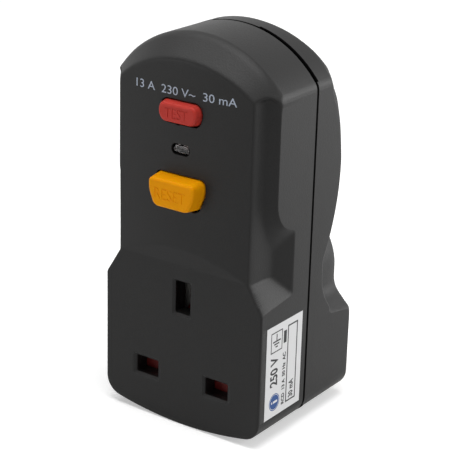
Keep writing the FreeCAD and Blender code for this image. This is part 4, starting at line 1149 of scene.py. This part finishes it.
class ADAPTER_OT_prints(bpy.types.Operator):
    """Make the rating on the panel, and the side label with its print"""

    bl_idname = "adapter.prints"
    bl_label = "Prints"

    def execute(self, context):
        settings = context.scene.adapter_prints
        rating = panel_line(settings.rating, *RATING_SIZE, *RATING_PLACE)
        line = one_mesh("panel_rating", [rating], (0, -1, 0))
        wear(finish("Panel ink", settings.front_ink, 0.5, grain=0.0002, height=0.000002,
                    tone=0.25, specular=0.2), line)
        dress(line, "case", "label")

        low, high = box_sides(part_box("side_label"))
        paper_x = high.x - PAPER_GAP
        paper = box_tool("label_paper", (low.x, paper_x), (low.y, high.y), (low.z, high.z))
        print_place = mm(high.x - PRINT_GAP, low.y - BODY_DEPTH, low.z)
        white_place = mm(high.x - WHITE_GAP, low.y - BODY_DEPTH, low.z)
        sign = side_words(*DISC_SIGN, *DISC_PLACE)
        white = one_mesh("label_white", [sign], (1, 0, 0), white_place)
        wear(finish("Label paper", settings.paper, 0.35, grain=0.0012, height=0.000002,
                    tone=0.03, specular=0.45), paper, white)
        dress(paper, "case", "label", "side_label")
        dress(white, "case", "label")

        black = [side_words(*word) for word in LABEL_WORDS] + [bar(*LABEL_BAR)]
        for box in LABEL_BOXES:
            black += ruled_box(*box)
        black += earth_sign(*EARTH_SIGN_PLACE)
        ink = one_mesh("label_print", black, (1, 0, 0), print_place)
        wear(finish("Label ink", settings.label_ink, 0.4, grain=0.0003, height=0.000001,
                    tone=0.2, specular=0.3), ink)
        dress(ink, "case", "label")
        rings = [ring_patch(*DISC_PLACE, *radii) for radii in DISC_RINGS]
        disc = one_mesh("label_disc", rings, (1, 0, 0), print_place)
        wear(finish("Disc ink", settings.disc_ink, 0.4, grain=0.0003, height=0.000001,
                    tone=0.15, specular=0.3), disc)
        dress(disc, "case", "label")
        return {"FINISHED"}


class ADAPTER_OT_metalwork(bpy.types.Operator):
    """Finish the pins, sleeves, contacts, straps, links, screws, strip and latch"""

    bl_idname = "adapter.metalwork"
    bl_label = "Metalwork"

    def execute(self, context):
        brass = finish("Pin brass", (0.76, 0.57, 0.27), 0.30, grain=0.0022, height=0.0000008,
                       tone=0.06, rough_change=0.08, metallic=1.0)
        wear(brass, "live_pin", "neutral_pin", "earth_pin")
        contact = finish("Contact brass", (0.74, 0.52, 0.24), 0.30, grain=0.0006,
                         height=0.000002, tone=0.18, rough_change=0.16, metallic=1.0)
        wear(contact, "live_contact", "neutral_contact", "earth_contact", "live_strap",
             "neutral_strap", "earth_strap", "live_link", "neutral_link",
             "live_fixed_contact", "neutral_fixed_contact", "moving_contacts")
        steel = finish("Bright screw steel", (0.62, 0.62, 0.61), 0.28, grain=0.0004,
                       height=0.000002, tone=0.14, rough_change=0.14, metallic=1.0)
        wear(steel, "case_screws", "board_screws", "latch_pin", "trip_plunger")
        wear(spring_steel(), "test_strip", "trip_latch")
        sleeve = finish("Pin sleeve", (0.012, 0.012, 0.012), 0.36, tone=0.3)
        wear(sleeve, "live_pin_sleeve", "neutral_pin_sleeve")
        return {"FINISHED"}


def winding_tree(name, turns_kind, measures):
    """Start a geometry tree with named inputs, and return it with its input node's outputs."""
    tree = bpy.data.node_groups.new(name, "GeometryNodeTree")
    group_socket(tree, "Turns", turns_kind, "INPUT")
    for label in measures:
        group_socket(tree, label, "NodeSocketFloat", "INPUT")
    group_socket(tree, "Place", "NodeSocketVector", "INPUT")
    group_socket(tree, "Finish", "NodeSocketMaterial", "INPUT")
    group_socket(tree, "Geometry", "NodeSocketGeometry", "OUTPUT")
    return tree, tree.nodes.new("NodeGroupInput").outputs


def circle_curve(tree, radius, points):
    """Add a circle and return its curve."""
    return add_node(tree, "GeometryNodeCurvePrimitiveCircle", Resolution=points,
                    Radius=radius).outputs[0]


def rectangle_curve(tree, width, height):
    """Add a rectangle and return its curve."""
    return add_node(tree, "GeometryNodeCurvePrimitiveQuadrilateral", Width=width,
                    Height=height).outputs[0]


def swept(tree, rail, profile, capped=False):
    """Add a mesh of a profile drawn along a rail, and return it."""
    return add_node(tree, "GeometryNodeCurveToMesh", Curve=rail, Profile_Curve=profile,
                    Fill_Caps=capped).outputs[0]


def end_tree(tree, given, geometry, turn):
    """Stand the geometry in its place, make it real and give it its finish."""
    placed = add_node(tree, "GeometryNodeTransform", Geometry=geometry,
                      Translation=given["Place"], Rotation=turn)
    real = add_node(tree, "GeometryNodeRealizeInstances", Geometry=placed.outputs[0])
    dressed = add_node(tree, "GeometryNodeSetMaterial", Geometry=real.outputs[0],
                       Material=given["Finish"])
    add_node(tree, "NodeGroupOutput", Geometry=dressed.outputs[0])
    return tree


def coil_tree():
    """Tree: wire wound in a close helix over a plain sleeve."""
    tree, given = winding_tree("Wound coil", "NodeSocketFloat", (
        "Coil radius", "Wire radius", "Height", "Sleeve radius", "Sleeve wall", "Sleeve height",
    ))
    helix = add_node(tree, "GeometryNodeCurveSpiral", Resolution=28, Rotations=given["Turns"],
                     Start_Radius=given["Coil radius"], End_Radius=given["Coil radius"],
                     Height=given["Height"])
    wire = swept(tree, helix.outputs[0], circle_curve(tree, given["Wire radius"], 7), True)
    sleeve = swept(tree, circle_curve(tree, given["Sleeve radius"], 48),
                   rectangle_curve(tree, given["Sleeve wall"], given["Sleeve height"]))
    lift = add_node(tree, "ShaderNodeCombineXYZ", Z=given["Height"])
    raised = add_node(tree, "GeometryNodeTransform", Geometry=sleeve,
                      Translation=scaled(tree, lift.outputs[0], 0.5))
    both = tree.nodes.new("GeometryNodeJoinGeometry")
    tree.links.new(wire, both.inputs[0])
    tree.links.new(raised.outputs[0], both.inputs[0])
    return end_tree(tree, given, both.outputs[0], (0, 0, 0))


TURN_ROUNDING = 0.9 * MM


def ring_tree():
    """Tree: separate turns of wire set round an arc of a ring core."""
    tree, given = winding_tree("Wound ring", "NodeSocketInt", (
        "Ring radius", "Start angle", "Sweep angle", "Turn width", "Turn depth", "Wire radius",
    ))
    arc = add_node(tree, "GeometryNodeCurveArc", Resolution=96, Radius=given["Ring radius"],
                   Start_Angle=given["Start angle"], Sweep_Angle=given["Sweep angle"])
    spots = add_node(tree, "GeometryNodeCurveToPoints", Curve=arc.outputs[0],
                     Count=given["Turns"]).outputs
    rounded = tree.nodes.new("GeometryNodeFilletCurve")
    rounded.mode = "POLY"
    feed(tree, rounded.inputs[0], rectangle_curve(tree, given["Turn width"], given["Turn depth"]))
    feed(tree, rounded.inputs["Count"], 3)
    feed(tree, rounded.inputs["Radius"], TURN_ROUNDING)
    turn = swept(tree, rounded.outputs[0], circle_curve(tree, given["Wire radius"], 6))
    wound = add_node(tree, "GeometryNodeInstanceOnPoints", Points=spots["Points"],
                     Instance=turn, Rotation=spots["Rotation"])
    return end_tree(tree, given, wound.outputs[0], (math.radians(90), 0, 0))


WIRE_SHARP_ANGLE, SPRING_SHARP_ANGLE = math.radians(50), math.radians(40)


def grown_piece(name, tree, values):
    """Grow a plain mesh from a tree, its inputs given by name."""
    piece = link_mesh(name, bpy.data.meshes.new(name))
    grower = piece.modifiers.new(name, "NODES")
    grower.node_group = tree
    for item in tree.interface.items_tree:
        if item.in_out == "INPUT" and item.name in values:
            grower[item.identifier] = values[item.name]
    bake_modifiers(piece)
    smooth(clean_mesh(piece.data), WIRE_SHARP_ANGLE)
    return piece


COIL_SLEEVE_INSET, COIL_SLEEVE_WALL = 0.8 * MM, 0.9 * MM
RING_START, RING_SWEEP = math.radians(172.0), math.radians(276.0)
RING_WIRE, RING_WALL = 0.2 * MM, 5.2 * MM


class ADAPTER_OT_windings(bpy.types.Operator):
    """Wind the wire of the trip coil and of the current transformer"""

    bl_idname = "adapter.windings"
    bl_label = "Windings"

    def execute(self, context):
        settings = context.scene.adapter_windings
        copper = finish("Copper wire", (0.62, 0.25, 0.11), 0.3, grain=0.0004, tone=0.2,
                        metallic=1.0)
        low, high = [Vector(corner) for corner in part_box("trip_winding")]
        wire = (high.z - low.z) / (2 * settings.coil_turns + 2)
        coil = grown_piece("trip_wire", coil_tree(), {
            "Turns": float(settings.coil_turns),
            "Coil radius": (high.x - low.x) / 2 - wire,
            "Wire radius": wire,
            "Height": high.z - low.z - 2 * wire,
            "Sleeve radius": (high.x - low.x) / 2 - COIL_SLEEVE_INSET,
            "Sleeve wall": COIL_SLEEVE_WALL,
            "Sleeve height": high.z - low.z,
            "Place": (0, (low.y + high.y) / 2, low.z + wire),
            "Finish": copper,
        })
        wear(copper, coil)
        dress(coil, "case", "copper_wire", "trip_winding")

        low, high = [Vector(corner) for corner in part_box("transformer_winding")]
        ring = grown_piece("transformer_wire", ring_tree(), {
            "Turns": settings.ring_turns,
            "Ring radius": (high.x - low.x - RING_WALL) / 2,
            "Start angle": RING_START,
            "Sweep angle": RING_SWEEP,
            "Turn width": RING_WALL - 2 * RING_WIRE,
            "Turn depth": high.y - low.y - 2 * RING_WIRE,
            "Wire radius": RING_WIRE,
            "Place": (0, (low.y + high.y) / 2, (low.z + high.z) / 2),
            "Finish": copper,
        })
        wear(copper, ring)
        dress(ring, "case", "copper_wire", "transformer_winding")
        return {"FINISHED"}


SPRINGS = {
    "test_spring": ("test_press", (0, 1, 0), 1.2),
    "reset_spring": ("reset_press", (0, 1, 0), 2.5),
    "opening_spring": ("contact_close", (0, 1, 0), 1.8),
    "shutter_spring": ("shutter_slide", (0, 0, 1), 5.5),
    "plunger_spring": ("trip_plunge", (0, 0, 1), 1.5),
}


class ADAPTER_OT_springs(bpy.types.Operator):
    """Make the springs from their nodes' meshes, finished in spring steel"""

    bl_idname = "adapter.springs"
    bl_label = "Springs"

    def execute(self, context):
        for node, (joint, axis, travel) in SPRINGS.items():
            piece = link_mesh(node + "_wire", merged_mesh(node, node + "_wire"))
            smooth(piece.data, SPRING_SHARP_ANGLE)
            wear(spring_steel(), piece)
            dress(piece, "case", "spring_steel", node)
            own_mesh(piece)
        return {"FINISHED"}


class ADAPTER_OT_inner_parts(bpy.types.Operator):
    """Finish the insert, frame, board and its components"""

    bl_idname = "adapter.inner_parts"
    bl_label = "Inner parts"

    def execute(self, context):
        inner = finish("Inner moulding", (0.34, 0.33, 0.31), 0.5, tone=0.15)
        wear(inner, "socket_insert", "mechanism_frame", "contact_carrier", "trip_bobbin")
        wear(finish("Board", (0.035, 0.10, 0.045), 0.4, grain=0.001, tone=0.35), "circuit_board")
        wear(finish("Ferrite", (0.035, 0.034, 0.035), 0.6, tone=0.3), "transformer_core")
        wear(finish("Blue coating", (0.012, 0.09, 0.34), 0.35, tone=0.15), "varistor")
        wear(finish("Capacitor case", (0.42, 0.25, 0.05), 0.35, tone=0.1), "capacitor")
        return {"FINISHED"}


# Studio


def camera_turn(settings):
    """Rotation of a camera that looks at the adapter from its azimuth and elevation."""
    azimuth, elevation, roll = settings.azimuth, settings.elevation, settings.roll
    back = Vector((
        math.sin(azimuth) * math.cos(elevation),
        -math.cos(azimuth) * math.cos(elevation),
        math.sin(elevation),
    ))
    right = Vector((0, 0, 1)).cross(back).normalized()
    up = back.cross(right)
    turned_right = right * math.cos(roll) + up * math.sin(roll)
    turned_up = up * math.cos(roll) - right * math.sin(roll)
    return Matrix((turned_right, turned_up, back)).transposed()


def seen_directly(tree, gloss_share):
    """One where camera or glass rays meet a surface, and gloss_share where gloss does."""
    rays = tree.nodes.new("ShaderNodeLightPath").outputs
    seen = maths(tree, "MULTIPLY_ADD", rays["Is Glossy Ray"], gloss_share, rays["Is Camera Ray"])
    return maths(tree, "ADD", seen, rays["Is Transmission Ray"])


def floor_material(name, colour, glow_level, gloss_share):
    """A pale surface that keeps shadows and shows as white to the camera."""
    material = bpy.data.materials.new(name)
    material.use_nodes = True
    tree = material.node_tree
    tree.nodes.clear()
    diffuse = add_node(tree, "ShaderNodeBsdfDiffuse", Color=(*colour, 1))
    strength = maths(tree, "MULTIPLY", seen_directly(tree, gloss_share), glow_level)
    glow = add_node(tree, "ShaderNodeEmission", Strength=strength)
    both = tree.nodes.new("ShaderNodeAddShader")
    tree.links.new(diffuse.outputs[0], both.inputs[0])
    tree.links.new(glow.outputs[0], both.inputs[1])
    add_node(tree, "ShaderNodeOutputMaterial", Surface=both.outputs[0])
    return material


def soft_lamp(name, place, aim, size, power):
    """Hang a square soft lamp that points at the adapter."""
    lamp = bpy.data.lights.new(name, "AREA")
    lamp.shape = "SQUARE"
    lamp.size = size
    lamp.energy = power
    holder = bpy.data.objects.new(name, lamp)
    holder.location = place
    holder.rotation_euler = (Vector(aim) - Vector(place)).to_track_quat("-Z", "Y").to_euler()
    bpy.context.scene.collection.objects.link(holder)
    return holder


# Name, place, size in metres and power in watts of each lamp

LAMPS = (
    ("key", (0.46, 0.42, 0.20), 0.4, 2.9),
    ("front", (-0.65, -1.0, 0.14), 0.45, 1.7),
    ("left", (-0.45, -0.10, 0.95), 0.5, 2.6),
    ("top", (0.15, -0.15, 1.0), 0.6, 6.8),
)
LAMP_AIM = (0, -0.02, 0.045)
FLOOR_RADIUS, FLOOR_COLOUR, FLOOR_GLOW, FLOOR_GLOSS_SHARE = 0.6, (0.80, 0.80, 0.80), 0.42, 0.4
ROOM_LIGHT, ROOM_WHITE = 0.20, 1.0


class ADAPTER_OT_studio(bpy.types.Operator):
    """Set the pale floor, the soft lamps and the camera"""

    bl_idname = "adapter.studio"
    bl_label = "Studio"

    def execute(self, context):
        settings = context.scene.adapter_studio
        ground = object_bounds()[0][2]
        mesh = bpy.data.meshes.new("floor")
        with editing(mesh) as work:
            bmesh.ops.create_circle(work, cap_ends=True, segments=96, radius=FLOOR_RADIUS)
            bmesh.ops.translate(work, verts=work.verts, vec=(0, 0, ground))
        floor = link_mesh("floor", mesh)
        wear(floor_material("Pale floor", FLOOR_COLOUR, FLOOR_GLOW, FLOOR_GLOSS_SHARE), floor)
        floor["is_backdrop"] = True
        for name, place, size, power in LAMPS:
            soft_lamp(name, place, LAMP_AIM, size, power)

        world = bpy.data.worlds.new("Pale room")
        world.use_nodes = True
        tree = world.node_tree
        background = tree.nodes["Background"]
        background.inputs["Color"].default_value = (1, 1, 1, 1)
        level = add_node(tree, "ShaderNodeMapRange", Value=seen_directly(tree, 1.0),
                         To_Min=ROOM_LIGHT, To_Max=ROOM_WHITE)
        tree.links.new(level.outputs["Result"], background.inputs["Strength"])
        context.scene.world = world

        lens = bpy.data.cameras.new("camera")
        lens.lens = settings.lens
        lens.sensor_width = 36.0
        lens.clip_start = 0.01
        camera = bpy.data.objects.new("camera", lens)
        camera.matrix_world = Matrix.Translation(settings.place) @ camera_turn(settings).to_4x4()
        context.scene.collection.objects.link(camera)
        context.scene.camera = camera
        context.scene.view_settings.view_transform = "Standard"
        return {"FINISHED"}


class ADAPTER_PT_panel(bpy.types.Panel):
    """Lists the adapter's pieces"""

    bl_idname = "ADAPTER_PT_panel"
    bl_label = "Adapter"
    bl_space_type = "VIEW_3D"
    bl_region_type = "UI"
    bl_category = "Adapter"

    def draw(self, context):
        for operator in OPERATORS:
            self.layout.operator(operator.bl_idname)


OPERATORS = (
    ADAPTER_OT_front_cover,
    ADAPTER_OT_back_cover,
    ADAPTER_OT_buttons,
    ADAPTER_OT_indicator,
    ADAPTER_OT_shutter,
    ADAPTER_OT_prints,
    ADAPTER_OT_metalwork,
    ADAPTER_OT_springs,
    ADAPTER_OT_inner_parts,
    ADAPTER_OT_windings,
    ADAPTER_OT_studio,
)

SETTINGS = {
    "adapter_housing": HousingSettings,
    "adapter_buttons": ButtonSettings,
    "adapter_prints": PrintSettings,
    "adapter_windings": WindingSettings,
    "adapter_studio": StudioSettings,
}


def register():
    for name, settings in SETTINGS.items():
        bpy.utils.register_class(settings)
        setattr(bpy.types.Scene, name, PointerProperty(type=settings))
    for operator in OPERATORS:
        bpy.utils.register_class(operator)
    bpy.utils.register_class(ADAPTER_PT_panel)


def unregister():
    bpy.utils.unregister_class(ADAPTER_PT_panel)
    for operator in reversed(OPERATORS):
        bpy.utils.unregister_class(operator)
    for name, settings in SETTINGS.items():
        delattr(bpy.types.Scene, name)
        bpy.utils.unregister_class(settings)


def main():
    """Make every piece and the studio."""
    register()
    bpy.ops.adapter.studio()
    bpy.ops.adapter.front_cover()
    bpy.ops.adapter.back_cover()
    bpy.ops.adapter.buttons()
    bpy.ops.adapter.indicator()
    bpy.ops.adapter.shutter()
    bpy.ops.adapter.prints()
    bpy.ops.adapter.metalwork()
    bpy.ops.adapter.springs()
    bpy.ops.adapter.inner_parts()
    bpy.ops.adapter.windings()


if __name__ == "__main__":
    main()
